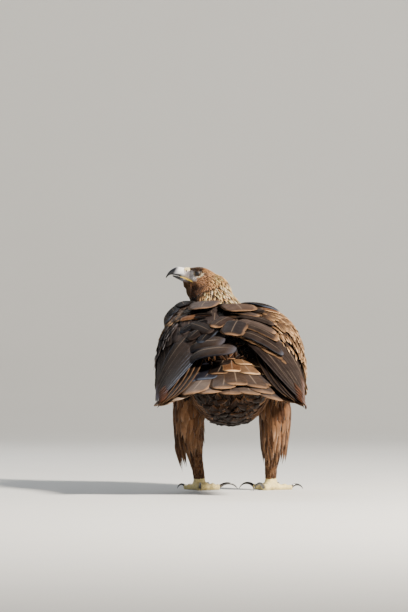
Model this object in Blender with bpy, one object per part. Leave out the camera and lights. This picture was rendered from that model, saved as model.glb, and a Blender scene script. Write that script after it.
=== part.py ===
"""A golden eagle at life size, standing with loosely folded wings, a spread tail and its head turned to its left.

+X is the bird's left, -Y its front and +Z up. The feet stand on the floor at Z 0. Lengths are in metres.
The bird is drawn about a line between its feet and is then moved so that its box stands on the origin.
"""

import math
import random

import bmesh
import bpy
import numpy as np
from mathutils import Matrix, Vector

GAP = 0.0003
ROOM = 0.0005
SEED = 7

# The torso, read from the tail's root to the breast: place along Y, top and bottom heights, half width.
TORSO = (
    (0.188, 0.312, 0.262, 0.034),
    (0.165, 0.326, 0.226, 0.056),
    (0.125, 0.346, 0.182, 0.078),
    (0.070, 0.366, 0.152, 0.096),
    (0.000, 0.382, 0.146, 0.106),
    (-0.060, 0.390, 0.160, 0.108),
    (-0.115, 0.390, 0.184, 0.104),
    (-0.160, 0.385, 0.212, 0.093),
    (-0.200, 0.371, 0.248, 0.072),
    (-0.226, 0.350, 0.288, 0.042),
    (-0.234, 0.332, 0.310, 0.018),
)
TORSO_FULLNESS = 2.25

# The neck's core, from inside the breast to inside the head: centre, half width, half depth.
NECK = (
    (0.004, -0.122, 0.332, 0.0840, 0.0740),
    (0.020, -0.153, 0.378, 0.0700, 0.0640),
    (0.0395, -0.181, 0.418, 0.0535, 0.0520),
    (0.0440, -0.195, 0.446, 0.0470, 0.0435),
    (0.055, -0.202, 0.474, 0.0360, 0.0340),
)
# The neck's hackles stand in tiers, counted down from the head: places of root and tip, half width, number.
HACKLE_TIERS = ((0.020, 0.050, 0.0125, 9), (0.002, 0.034, 0.0120, 9))
HACKLE_STEP = 0.0022
HACKLE_SPREAD = 0.045
# Under the jaw, as a share of the way round, the upper tier has none.
THROAT = (0.62, 0.90)

# The head, seen from its own left side: place ahead of the eyes, top and bottom from the eye line, half width.
EYE_LINE = (0.0713, -0.205, 0.4865)
HEAD = (
    (-0.0520, -0.0170, -0.0220, 0.0050),
    (-0.0480, -0.0110, -0.0310, 0.0140),
    (-0.0380, -0.0010, -0.0400, 0.0240),
    (-0.0240, 0.0082, -0.0430, 0.0290),
    (-0.0100, 0.0140, -0.0425, 0.0305),
    (0.0020, 0.0150, -0.0390, 0.0285),
    (0.0110, 0.0140, -0.0345, 0.0240),
    (0.0200, 0.0130, -0.0300, 0.0165),
)
HEAD_FULLNESS = 2.2
# The lower jaw under the mouth line, in the same measures: place ahead, bottom, half width.
JAW = (
    (0.0060, -0.0370, 0.0190),
    (0.0200, -0.0345, 0.0152),
    (0.0290, -0.0292, 0.0115),
    (0.0345, -0.0232, 0.0087),
)
# The mouth line, from its corner to the lower bill's tip: place ahead of the eyes and height from the eye line.
MOUTH = (
    (0.0120, -0.0190),
    (0.0220, -0.0148),
    (0.0320, -0.0108),
    (0.0392, -0.0083),
    (0.0465, -0.0062),
    (0.0535, -0.0047),
    (0.0600, -0.0038),
)
MOUTH_OPEN = 0.0008
# The throat's swelling under the jaw: its place from the eye line and its size.
THROAT_MIDDLE = (0.0110, 0.0, -0.0410)
THROAT_SIZE = (0.0155, 0.0205, 0.0230)
# The cere and the bill above the mouth line: place ahead, ridge height, half width.
CERE = ((0.0203, 0.0130, 0.0140), (0.0262, 0.0132, 0.0122), (0.0317, 0.0126, 0.0106))
NOSTRIL = (0.0275, 0.0050, 0.0115)
NOSTRIL_SIZE = (0.0011, 0.0020, 0.0022)
# The upper bill: its ridge ahead and up, its cutting edge ahead and up, half width.
BILL = (
    (0.0320, 0.0124, 0.0320, -0.0103, 0.0104),
    (0.0390, 0.0140, 0.0392, -0.0078, 0.0094),
    (0.0470, 0.0148, 0.0465, -0.0057, 0.0082),
    (0.0545, 0.0129, 0.0535, -0.0042, 0.0070),
    (0.0615, 0.0090, 0.0590, -0.0033, 0.0056),
    (0.0675, 0.0034, 0.0635, -0.0036, 0.0042),
    (0.0716, -0.0024, 0.0675, -0.0052, 0.0028),
    (0.0739, -0.0070, 0.0710, -0.0083, 0.0016),
    (0.0746, -0.0106, 0.0736, -0.0109, 0.0006),
)
# The lower bill: place ahead, bottom, half width.
LOWER_BILL = (
    (0.0349, -0.0200, 0.0080),
    (0.0440, -0.0150, 0.0068),
    (0.0530, -0.0106, 0.0052),
    (0.0590, -0.0072, 0.0026),
)
EYE_RADIUS = 0.0104
EYE_SIDE = 0.0196
EYE_TURN = 14.0
LID_RADIUS = 0.0082
LID_THICK = 0.0016
LID_OUT = 0.0070
BROW_MIDDLE = (0.0030, 0.0236, 0.0106)
BROW_SIZE = (0.0160, 0.0056, 0.0040)

# The cape that the folded wings make, read from the breast to the wing tips:
# place along Y, half width, top, height where the side turns down, lower edge, fullness of the arch.
CAPE = (
    (-0.210, 0.088, 0.376, 0.310, 0.270, 2.20),
    (-0.140, 0.130, 0.408, 0.275, 0.245, 2.60),
    (-0.070, 0.153, 0.415, 0.257, 0.230, 2.90),
    (0.000, 0.164, 0.413, 0.250, 0.220, 2.90),
    (0.070, 0.168, 0.399, 0.245, 0.213, 2.70),
    (0.140, 0.168, 0.375, 0.236, 0.208, 2.25),
    (0.210, 0.166, 0.344, 0.222, 0.208, 1.80),
    (0.280, 0.166, 0.316, 0.211, 0.206, 1.65),
    (0.360, 0.168, 0.290, 0.206, 0.203, 1.60),
    (0.470, 0.172, 0.262, 0.203, 0.200, 1.60),
)
CAPE_FLARE = 0.003
CAPE_REACH = 0.36
# The left shoulder stands higher: rise, its middle and reach along Y, and where across it starts and ends.
SHOULDER_RISE = 0.022
SHOULDER_ALONG = (-0.085, 0.060)
SHOULDER_ACROSS = (0.045, 0.110, 0.135, 0.172)

# The wings lie this much deeper near the spine, where the mantle covers them. Across runs over the cape.
WING_TUCK = 0.014
TUCK_ACROSS = (0.125, 0.190)
TUCK_ALONG = (0.120, 0.200)
TUCK_LEFT = 0.3

# The wing's arm under the feathers.
ARM_FRONT = -0.178
ARM_BACK = 0.050
ARM_INNER = (0.080, 0.053)
ARM_LOWER_MARGIN = 0.014
ARM_DEPTH = 0.0095
ARM_EDGE = 0.0115
ARM_THICK = 0.048
ARM_MIDDLE = (-0.060, 0.150)
ARM_REACH = (0.120, 0.110)

# The wing's feathers, each tier from its outermost to its innermost: root and tip, along and across.
PRIMARY_ROOTS = ((0.036, 0.280), (0.012, 0.238))
PRIMARY_TIPS = (0.412, 0.452, 0.460, 0.415, 0.365, 0.315)
PRIMARY_MARGIN = (0.020, 0.030)
PRIMARY_HALF = (0.020, 0.025)
PRIMARY_HEIGHT = -0.0103
PRIMARY_STEP = 0.0020
PRIMARY_LIFT = 0.0080
SECONDARY_ROOTS = ((-0.120, 0.225), (0.005, 0.080))
SECONDARY_TIPS = ((0.250, 0.214), (0.200, 0.034))
SECONDARY_HALF = 0.0300
SECONDARY_HEIGHT = -0.0035
SECONDARY_TILT = 0.10
SECONDARIES = 7
COVERTS = 7
COVERT_PLACE = (-0.020, 0.105)
COVERT_HALF = 0.0235
COVERT_HEIGHT = 0.0

# The tail's root and its slope, and how much its sides droop.
TAIL_ROOT = (0.165, 0.290)
TAIL_DROOP = 13.0
TAIL_ARCH = 1.9
TAIL_FAN = 22.0
RECTRIX_PAIRS = 6
RECTRIX_LENGTH = 0.300
RECTRIX_HALF = 0.0315
RECTRIX_ROOTS = 0.027

# The back's plate, which carries the mantle and the scapular feathers.
MANTLE_FRONT = -0.128
MANTLE_BACK = 0.012
MANTLE_HALF = 0.047
MANTLE_DEPTH = 0.0075
MANTLE_THICK = 0.050
# Its tiers from the rear: places of roots and tips, spacing of roots and tips, half width, height, number.
MANTLE_TIERS = (
    (-0.015, 0.165, 0.0130, 0.0340, 0.0275, -0.0056, 7),
    (-0.062, 0.075, 0.0160, 0.0390, 0.0290, -0.0032, 5),
    (-0.112, -0.005, 0.0200, 0.0410, 0.0280, -0.0008, 4),
)

# Both legs share these: X of the left and of the right leg, Y, Z, half width, half depth.
THIGH = (
    (0.0840, 0.0900, -0.012, 0.262, 0.030, 0.046),
    (0.0915, 0.0990, -0.008, 0.215, 0.034, 0.050),
    (0.0925, 0.1015, 0.002, 0.170, 0.034, 0.046),
    (0.0890, 0.1000, 0.012, 0.130, 0.031, 0.036),
    (0.0840, 0.0975, 0.018, 0.104, 0.025, 0.026),
    (0.0800, 0.0955, 0.020, 0.090, 0.018, 0.018),
)
TARSUS = (
    (0.0790, 0.0950, 0.019, 0.0897, 0.0160, 0.0170),
    (0.0760, 0.0935, 0.014, 0.0660, 0.0150, 0.0155),
    (0.0715, 0.0920, 0.007, 0.0430, 0.0132, 0.0138),
    (0.0690, 0.0920, 0.002, 0.0283, 0.0128, 0.0136),
)
TROUSERS = (
    (0.0910, 0.1000, -0.007, 0.210, 0.0360, 0.0520),
    (0.0920, 0.1015, 0.006, 0.150, 0.0345, 0.0440),
    (0.0915, 0.0995, 0.018, 0.100, 0.0325, 0.0340),
    (0.0850, 0.0990, 0.024, 0.060, 0.0285, 0.0280),
    (0.0790, 0.0965, 0.028, 0.030, 0.0245, 0.0240),
)
# The trousers' locks: heights of root and tip, half width, first and last angle from the back, number.
LOCK_TIERS = ((0.135, 0.040, 0.0112, -105.0, 105.0, 6), (0.172, 0.098, 0.0130, -122.0, 122.0, 6))
LOCK_SPREAD = 0.033

FOOT_TOP = 0.0280
PAD_SIZE = (0.0170, 0.0180, 0.0125)
PAD_HEIGHT = 0.0105
FLAT = 0.0012
# The toes: name, heading from straight ahead towards the outside, reach, radius at the root, claw's reach.
TOES = (
    ("inner", -62.0, 0.046, 0.0090, 0.042),
    ("middle", 4.0, 0.066, 0.0084, 0.035),
    ("outer", 56.0, 0.052, 0.0078, 0.029),
    ("hind", -160.0, 0.034, 0.0092, 0.050),
)
# How far each foot is turned outwards, the left and the right.
FOOT_TURNS = (-18.0, 8.0)
CLAW_RADIUS = 0.0045
CLAW_RISE = 42.0
CLAW_FALL = -68.0

# Outlines of feathers: share of the length, share of the half width.
FLIGHT = ((0.0, 0.16), (0.12, 0.30), (0.42, 0.94), (0.78, 1.0), (0.94, 0.70), (1.0, 0.20))
BROAD = ((0.0, 0.22), (0.16, 0.42), (0.50, 0.98), (0.84, 0.84), (1.0, 0.24))
LOCK = ((0.0, 0.70), (0.40, 1.0), (0.80, 0.66), (1.0, 0.12))
HACKLE = ((0.0, 0.8), (0.5, 1.0), (1.0, 0.12))
VANE_THICK = 0.0007
LOCK_THICK = 0.0012

# Colours as linear red, green, blue, and roughness.
COLOURS = {
    "torso": ((0.045, 0.024, 0.013), 0.85),
    "neck": ((0.280, 0.145, 0.058), 0.80),
    "head": ((0.230, 0.120, 0.052), 0.80),
    "cere": ((0.560, 0.400, 0.110), 0.45),
    "bill": ((0.100, 0.105, 0.115), 0.30),
    "eye": ((0.050, 0.026, 0.010), 0.08),
    "mantle": ((0.062, 0.038, 0.024), 0.80),
    "wing": ((0.055, 0.033, 0.021), 0.80),
    "tail": ((0.090, 0.062, 0.042), 0.80),
    "thigh": ((0.120, 0.060, 0.026), 0.85),
    "tarsus": ((0.130, 0.070, 0.034), 0.85),
    "foot": ((0.560, 0.370, 0.070), 0.55),
    "talon": ((0.012, 0.011, 0.011), 0.25),
}

X_AXIS, Y_AXIS, Z_AXIS = np.eye(3)


def smooth(stations, values, at):
    """Reads values along the stations on one smooth curve through them."""
    x = np.asarray(stations, float)
    y = np.asarray(values, float)
    if x[0] > x[-1]:
        x, y = x[::-1], y[::-1]
    at = np.clip(np.asarray(at, float), x[0], x[-1])
    slope = np.gradient(y, x)
    i = np.clip(np.searchsorted(x, at, side="right") - 1, 0, len(x) - 2)
    step = x[i + 1] - x[i]
    t = (at - x[i]) / step
    start = y[i] * (1 + 2 * t) * (1 - t) ** 2 + slope[i] * step * t * (1 - t) ** 2
    end = y[i + 1] * t * t * (3 - 2 * t) - slope[i + 1] * step * t * t * (1 - t)
    return start + end


def ease(value, low, high):
    t = np.clip((value - low) / (high - low), 0, 1)
    return t * t * (3 - 2 * t)


def mix(pair, share):
    return pair[0] + (pair[1] - pair[0]) * share


def columns(table):
    return np.array(table, float).T


def direction(start, end):
    step = np.asarray(end, float) - np.asarray(start, float)
    return step / np.linalg.norm(step)


def collection(name):
    made = bpy.data.collections.new(name)
    bpy.context.scene.collection.children.link(made)
    return made


def object_from(name, bm, home):
    """A mesh object from closed geometry, with its faces pointing out."""
    bmesh.ops.recalc_face_normals(bm, faces=bm.faces)
    mesh = bpy.data.meshes.new(name)
    bm.to_mesh(mesh)
    bm.free()
    made = bpy.data.objects.new(name, mesh)
    home.objects.link(made)
    return made


def ring_solid(name, rings, home):
    """A closed solid through a row of rings, with flat ends."""
    bm = bmesh.new()
    loops = [[bm.verts.new(p) for p in ring] for ring in rings]
    count = len(loops[0])
    for near, far in zip(loops, loops[1:]):
        for k in range(count):
            n = (k + 1) % count
            bm.faces.new((near[k], near[n], far[n], far[k]))
    bm.faces.new(loops[0])
    bm.faces.new(loops[-1])
    bmesh.ops.triangulate(bm, faces=bm.faces, quad_method="FIXED")
    return object_from(name, bm, home)


def superellipse(angle, half, up, down, fullness):
    """Offsets to the side and upwards of a rounded section, from straight up at angle 0."""
    power = 2.0 / fullness
    s, c = np.sin(angle), np.cos(angle)
    side = half * np.sign(s) * np.abs(s) ** power
    rise = np.where(c > 0, up, down) * np.sign(c) * np.abs(c) ** power
    return side, rise


def section_ring(centre, side_axis, up_axis, half, up, down, fullness, count):
    angle = np.linspace(0, 2 * math.pi, count, endpoint=False)
    side, rise = superellipse(angle, half, up, down, fullness)
    return centre + side[:, None] * side_axis + rise[:, None] * up_axis


def upright_rings(axis, side_axis, at, tops, bottoms, halves, fullness, count, grow):
    """Sections square to an axis, from their tops and bottoms. With grow they are a little larger all round."""
    rings = []
    ends = (0, len(at) - 1)
    for i, (place, top, bottom, half) in enumerate(zip(at, tops, bottoms, halves)):
        beyond = 0.0
        if i in ends:
            beyond = math.copysign(grow, at[i] - at[len(at) // 2])
        middle = 0.55 * top + 0.45 * bottom
        centre = axis * (place + beyond) + Z_AXIS * middle
        sizes = (half + grow, top - middle + grow, middle - bottom + grow)
        rings.append(section_ring(centre, side_axis, Z_AXIS, *sizes, fullness, count))
    return rings


def torso_rings(grow=0.0, count=22, along=14):
    """The torso's upright sections, closest together where the breast and rump turn in."""
    y, top, bottom, half = columns(TORSO)
    turn = np.linspace(0, math.pi, along)
    at = y[0] + (y[-1] - y[0]) * (1 - np.cos(turn)) / 2
    tops, bottoms, halves = (smooth(y, v, at) for v in (top, bottom, half))
    return upright_rings(Y_AXIS, X_AXIS, at, tops, bottoms, halves, TORSO_FULLNESS, count, grow)


def head_rings(grow=0.0, count=18, along=10):
    """The head's sections, square to the way it faces, which is the bird's left."""
    ahead, top, bottom, half = columns(HEAD)
    at = np.concatenate([ahead[:2], np.linspace(ahead[2], ahead[-1], along - 2)])
    tops, bottoms, halves = (smooth(ahead, v, at) for v in (top, bottom, half))
    rings = upright_rings(X_AXIS, Y_AXIS, at, tops, bottoms, halves, HEAD_FULLNESS, count, grow)
    return [ring + np.array(EYE_LINE) for ring in rings]


def neck_frame(share):
    """The neck's centre, its left and back directions and its sizes at a share of its path to the head."""
    place = np.linspace(0, 1, len(NECK))
    path = columns(NECK)
    centre = np.stack([smooth(place, v, share) for v in path[:3]], -1)
    ahead = np.stack([smooth(place, v, np.asarray(share) + 0.02) for v in path[:3]], -1)
    behind = np.stack([smooth(place, v, np.asarray(share) - 0.02) for v in path[:3]], -1)
    way = ahead - behind
    way = way / np.linalg.norm(way, axis=-1, keepdims=True)
    left = X_AXIS - way * way[..., :1]
    left = left / np.linalg.norm(left, axis=-1, keepdims=True)
    back = np.cross(way, left)
    return centre, left, back, smooth(place, path[3], share), smooth(place, path[4], share)


def neck_rings(grow=0.0, count=18, along=7):
    rings = []
    for share in np.linspace(0, 1, along):
        centre, left, back, half, deep = neck_frame(share)
        sizes = (half + grow, deep + grow, deep + grow)
        rings.append(section_ring(centre, left, back, *sizes, 2.1, count))
    return rings


def neck_surface(along, across, height):
    """Round the neck. Along runs down from the head and across is measured from the middle of the nape."""
    length = sum(np.linalg.norm(np.subtract(b[:3], a[:3])) for a, b in zip(NECK, NECK[1:]))
    centre, left, back, half, deep = neck_frame(1 - along / length)
    angle = across / HACKLE_SPREAD
    side, rise = superellipse(angle, half + height, deep + height, deep + height, 2.1)
    return centre + side[..., None] * left + rise[..., None] * back


def mouth_height(ahead):
    x, z = columns(MOUTH)
    return smooth(x, z, ahead)


class Cape:
    """The surface over the folded wings. Along is Y and across is the distance from the spine."""

    def __init__(self):
        y, half, top, turn, low, full = columns(CAPE)
        self.rows = np.linspace(y[0], y[-1], 137)
        self.across = np.linspace(0, CAPE_REACH, 145)
        half, top, turn, low, full = (smooth(y, v, self.rows) for v in (half, top, turn, low, full))
        angle = np.linspace(0, math.pi / 2, 240)
        grid = []
        edges = []
        for i, place in enumerate(self.rows):
            x = half[i] * np.sin(angle) ** (2 / full[i])
            z = turn[i] + (top[i] - turn[i]) * np.cos(angle) ** (2 / full[i])
            x = np.append(x, [half[i] + CAPE_FLARE] * 2)
            z = np.append(z, [low[i], low[i] - CAPE_REACH])
            run = np.concatenate([[0], np.cumsum(np.hypot(np.diff(x), np.diff(z)))])
            edges.append(run[-2])
            section = (np.interp(self.across, run, x), 0 * self.across + place, np.interp(self.across, run, z))
            grid.append(np.stack(section, 1))
        self.grid = np.array(grid)
        self.edges = np.array(edges)

    def lower_edge(self, along):
        return np.interp(along, self.rows, self.edges)

    def on(self, along, across):
        i = (along - self.rows[0]) / (self.rows[1] - self.rows[0])
        j = np.abs(across) / (self.across[1] - self.across[0])
        i = np.clip(i, 0, len(self.rows) - 1.001)
        j = np.clip(j, 0, len(self.across) - 1.001)
        i0, j0 = i.astype(int), j.astype(int)
        fi, fj = (i - i0)[..., None], (j - j0)[..., None]
        near = self.grid[i0, j0] * (1 - fj) + self.grid[i0, j0 + 1] * fj
        far = self.grid[i0 + 1, j0] * (1 - fj) + self.grid[i0 + 1, j0 + 1] * fj
        found = near * (1 - fi) + far * fi
        found[..., 0] *= np.where(across < 0, -1.0, 1.0)
        found[..., 1] += np.clip(along - self.rows[-1], 0, None)
        return found

    def __call__(self, along, across, height):
        along, across, height = np.broadcast_arrays(along, across, height)
        step = 0.004
        back = self.on(along + step, across) - self.on(along - step, across)
        left = self.on(along, across + step) - self.on(along, across - step)
        inward = np.cross(back, left)
        inward /= np.linalg.norm(inward, axis=-1, keepdims=True)
        return self.on(along, across) - inward * height[..., None]


CAPE_SURFACE = Cape()


def shoulder_rise(along, across):
    """How much higher the left shoulder stands than the cape."""
    start, full, last, end = SHOULDER_ACROSS
    swell = np.exp(-(((along - SHOULDER_ALONG[0]) / SHOULDER_ALONG[1]) ** 2))
    return SHOULDER_RISE * swell * ease(across, start, full) * (1 - ease(across, last, end))


def back_surface(along, across, height):
    """The cape with its left shoulder, for what lies across the spine."""
    return CAPE_SURFACE(along, across, height + shoulder_rise(along, across))


def wing_surface(side):
    """The cape on one side, 1 for the left and -1 for the right, tucked under the mantle near the spine."""

    def on(along, across, height):
        along, across, height = np.broadcast_arrays(along, across, height)
        fading = 1 - (1 - TUCK_LEFT) * ease(along, *TUCK_ALONG)
        tuck = WING_TUCK * (1 - ease(across, *TUCK_ACROSS)) * fading
        rise = shoulder_rise(along, across) if side > 0 else 0.0
        return CAPE_SURFACE(along, across, height + rise - tuck) * (side, 1.0, 1.0)

    return on


def tail_surface(along, across, height):
    """The spread tail. Along is the distance back from its root and across the distance to the left."""
    along, across, height = np.broadcast_arrays(along, across, height)
    slope = math.radians(TAIL_DROOP)
    y = TAIL_ROOT[0] + along * math.cos(slope) + height * math.sin(slope)
    z = TAIL_ROOT[1] - along * math.sin(slope) + height * math.cos(slope) - TAIL_ARCH * across**2
    return np.stack([across + 0.0, y, z], -1)


def leg_columns(table, side):
    """Centre, half width and half depth of a leg's sections, with their heights running down."""
    left, right, y, z, half, deep = columns(table)
    return left if side > 0 else -right, y, z, half, deep


def leg_rings(table, side, count, along):
    x, y, z, half, deep = leg_columns(table, side)
    rings = []
    for height in np.linspace(z[0], z[-1], along):
        centre = np.array([smooth(z, x, height), smooth(z, y, height), height])
        sizes = (smooth(z, half, height), smooth(z, deep, height), smooth(z, deep, height))
        rings.append(section_ring(centre, X_AXIS, Y_AXIS, *sizes, 2.0, count))
    return rings


def trouser_surface(side):
    """Round the trousers. Along is the height and across is measured outwards from the middle of the back."""
    x, y, z, half, deep = leg_columns(TROUSERS, side)

    def on(along, across, height):
        along, across, height = np.broadcast_arrays(along, across, height)
        angle = across / LOCK_SPREAD * side
        wide = smooth(z, half, along) + height
        thick = smooth(z, deep, along) + height
        return np.stack(
            [smooth(z, x, along) + np.sin(angle) * wide, smooth(z, y, along) + np.cos(angle) * thick, along + 0.0], -1
        )

    return on


def vane(surface, root, tip, half, height, outline, home, sink=0.0, tilt=0.0, across=1, thick=VANE_THICK,
         sunk=0.15, lift=0.0):
    """One feather: a thin plate laid over a surface from its root to its tip.

    sink is how much deeper its root lies, over the share sunk of its length, tilt raises its side with the
    larger across and lift raises its tip.
    """
    share, width = (np.array(v) for v in zip(*outline))
    root, tip = np.array(root, float), np.array(tip, float)
    way = direction(root, tip)
    bm = bmesh.new()
    bmesh.ops.create_grid(bm, x_segments=across, y_segments=len(share) - 1, size=1)
    flat = np.array([v.co for v in bm.verts])
    t = share[np.rint((flat[:, 1] + 1) / 2 * (len(share) - 1)).astype(int)]
    side = flat[:, 0] * half * np.interp(t, share, width)
    place = root + (tip - root) * t[:, None] + np.outer(side, (-way[1], way[0]))
    high = height - sink * (1 - np.clip(t / sunk, 0, 1)) + tilt * side * np.sign(way[0]) + lift * t**2
    for vertex, point in zip(bm.verts, surface(place[:, 0], place[:, 1], high)):
        vertex.co = Vector(point)
    bmesh.ops.triangulate(bm, faces=bm.faces, quad_method="FIXED")
    bmesh.ops.solidify(bm, geom=bm.faces[:], thickness=thick)
    return object_from("vane", bm, home)


def settle(obj):
    """Applies an object's modifiers and keeps its largest closed surface."""
    bpy.context.view_layer.update()
    depsgraph = bpy.context.evaluated_depsgraph_get()
    mesh = bpy.data.meshes.new_from_object(obj.evaluated_get(depsgraph))
    obj.modifiers.clear()
    bm = bmesh.new()
    bm.from_mesh(mesh)
    bmesh.ops.remove_doubles(bm, verts=bm.verts, dist=2e-6)
    left = set(bm.faces)
    shells = []
    while left:
        reached = [left.pop()]
        shell = list(reached)
        while reached:
            face = reached.pop()
            near = {other for edge in face.edges for other in edge.link_faces if other in left}
            left -= near
            reached.extend(near)
            shell.extend(near)
        shells.append(shell)
    shells.sort(key=lambda faces: sum(f.calc_area() for f in faces))
    loose = [f for shell in shells[:-1] for f in shell]
    bmesh.ops.delete(bm, geom=loose, context="FACES")
    bm.to_mesh(mesh)
    bm.free()
    obj.data = mesh
    return obj


def joined(core, pieces, solver="MANIFOLD"):
    """One closed body from a core and the pieces in a collection, which are then removed."""
    union = core.modifiers.new("union", "BOOLEAN")
    union.operation = "UNION"
    union.operand_type = "COLLECTION"
    union.collection = pieces
    union.solver = solver
    settle(core)
    for obj in list(pieces.objects):
        bpy.data.objects.remove(obj)
    bpy.data.collections.remove(pieces)
    return core


def cut(obj, *cutters):
    """Takes each cutter's shape out of an object."""
    for cutter in cutters:
        difference = obj.modifiers.new("cut", "BOOLEAN")
        difference.operation = "DIFFERENCE"
        difference.object = cutter
        difference.solver = "EXACT"
        settle(obj)
    return obj


def shell_solid(name, surface, along, across, depth, thick, home):
    """A closed plate under a surface, over a grid of places. thick holds its thickness at each of them."""
    outer = surface(along, across, -depth)
    inner = surface(along, across, -depth - thick)
    rows, count = along.shape
    bm = bmesh.new()
    sides = [[[bm.verts.new(p) for p in row] for row in side] for side in (outer, inner)]
    for side in sides:
        for i in range(rows - 1):
            for j in range(count - 1):
                bm.faces.new((side[i][j], side[i][j + 1], side[i + 1][j + 1], side[i + 1][j]))
    border = [(0, j) for j in range(count)] + [(i, count - 1) for i in range(1, rows)]
    border += [(rows - 1, j) for j in range(count - 2, -1, -1)] + [(i, 0) for i in range(rows - 2, 0, -1)]
    top, under = sides
    for (i, j), (k, n) in zip(border, border[1:] + border[:1]):
        bm.faces.new((top[i][j], top[k][n], under[k][n], under[i][j]))
    bmesh.ops.triangulate(bm, faces=bm.faces)
    return object_from(name, bm, home)


def ball(name, centre, sizes, home, segments=16, rings=10, turn=0.0):
    """A ball or an egg shape, turned about the upright axis."""
    bm = bmesh.new()
    bmesh.ops.create_uvsphere(bm, u_segments=segments, v_segments=rings, radius=1)
    shape = Matrix.Translation(centre) @ Matrix.Rotation(math.radians(turn), 4, "Z") @ Matrix.Diagonal((*sizes, 1))
    bmesh.ops.transform(bm, matrix=shape, verts=bm.verts)
    return object_from(name, bm, home)


def build_neck(home, cutters):
    neck = ring_solid("neck", neck_rings(), home)
    rng = random.Random(f"{SEED} neck")
    hackles = collection("hackles")
    for tier, (root, tip, half, count) in enumerate(HACKLE_TIERS):
        around = 2 * math.pi * HACKLE_SPREAD
        for k in range(count):
            share = (k + 0.5 * (tier % 2)) / count
            if tier and THROAT[0] < share < THROAT[1]:
                continue
            across = around * (share - 0.5)
            end = (tip + rng.uniform(-0.002, 0.002), across + rng.uniform(-0.002, 0.002))
            start = (root, across)
            high = HACKLE_STEP * (tier + 1)
            vane(neck_surface, start, end, half, high, HACKLE, hackles, sink=high + 0.0025, thick=LOCK_THICK)
    joined(neck, hackles)
    return cut(neck, cutters["torso"], cutters["head"], cutters["jaw"], cutters["throat"])


def jaw_rings(grow=0.0):
    """The lower jaw from inside the face to its own front, under the mouth line."""
    ahead, bottom, half = columns(JAW)
    at = np.linspace(ahead[0], ahead[-1], 5)
    tops = mouth_height(at) - MOUTH_OPEN / 2
    bottoms, halves = (smooth(ahead, v, at) for v in (bottom, half))
    rings = upright_rings(X_AXIS, Y_AXIS, at, tops, bottoms, halves, 2.4, 14, grow)
    return [ring + np.array(EYE_LINE) for ring in rings]


def build_head(home, tools):
    """The head with its jaw, brows and lids, and with sockets for the eyes and a slit for the mouth."""
    head = ring_solid("head", head_rings(), home)
    extras = collection("face")
    ring_solid("jaw", jaw_rings(), extras)
    centre = Vector(EYE_LINE)
    ball("throat", centre + Vector(THROAT_MIDDLE), THROAT_SIZE, extras, 12, 10)
    for side in (1, -1):
        brow = Vector((BROW_MIDDLE[0], BROW_MIDDLE[1] * side, BROW_MIDDLE[2]))
        ball("brow", centre + brow, BROW_SIZE, extras, 8, 6, -side * EYE_TURN)
        bpy.ops.mesh.primitive_torus_add(
            major_segments=14, minor_segments=5, major_radius=LID_RADIUS, minor_radius=LID_THICK
        )
        lid = bpy.context.object
        facing = Vector((math.sin(math.radians(EYE_TURN)), side * math.cos(math.radians(EYE_TURN)), 0))
        place = centre + Vector((0, EYE_SIDE * side, 0)) + facing * LID_OUT
        lid.data.transform(Matrix.Translation(place) @ facing.to_track_quat("Z", "Y").to_matrix().to_4x4())
        for holder in list(lid.users_collection):
            holder.objects.unlink(lid)
        extras.objects.link(lid)
    joined(head, extras, "EXACT")
    sockets = []
    for side in (1, -1):
        eye = centre + Vector((0, EYE_SIDE * side, 0))
        sockets.append(ball("socket", eye, [EYE_RADIUS + GAP] * 3, tools, 16, 10))
    rings = []
    for ahead in np.linspace(MOUTH[0][0], 0.024, 4):
        middle = np.array(EYE_LINE) + (ahead, 0, mouth_height(ahead))
        rings.append(section_ring(middle, Y_AXIS, Z_AXIS, 0.035, *[MOUTH_OPEN / 2] * 2, 8.0, 8))
    slit = ring_solid("slit", rings, tools)
    return cut(head, *sockets, slit)


def build_bill(home, tools):
    """The cere with its nostrils, and the upper and lower bill."""
    origin = np.array(EYE_LINE)
    ahead, ridge, half = columns(CERE)
    at = np.linspace(ahead[0], ahead[-1], 4)
    lows = mouth_height(at) + MOUTH_OPEN / 2
    tops, halves = (smooth(ahead, v, at) for v in (ridge, half))
    rings = upright_rings(X_AXIS, Y_AXIS, at, tops, lows, halves, 2.3, 18, 0.0)
    cere = ring_solid("cere", [ring + origin for ring in rings], home)
    for side in (1, -1):
        place = Vector(EYE_LINE) + Vector((NOSTRIL[0], NOSTRIL[2] * side, NOSTRIL[1]))
        cut(cere, ball("nostril", place, NOSTRIL_SIZE, tools, 8, 6))
    rings = []
    for ridge_x, ridge_z, edge_x, edge_z, half in BILL:
        top, low = np.array([ridge_x, 0, ridge_z]), np.array([edge_x, 0, edge_z])
        tall = np.linalg.norm(top - low)
        centre = origin + low + (top - low) * 0.45
        rings.append(
            section_ring(centre, Y_AXIS, direction(low, top), half, tall * 0.55, tall * 0.45, 2.15, 16)
        )
    upper = ring_solid("bill_upper", rings, home)
    ahead, bottom, half = columns(LOWER_BILL)
    at = np.linspace(ahead[0], ahead[-1], 5)
    tops = mouth_height(at) - MOUTH_OPEN / 2
    bottoms, halves = (smooth(ahead, v, at) for v in (bottom, half))
    rings = upright_rings(X_AXIS, Y_AXIS, at, tops, bottoms, halves, 2.3, 14, 0.0)
    lower = ring_solid("bill_lower", [ring + origin for ring in rings], home)
    return cere, upper, lower


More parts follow.
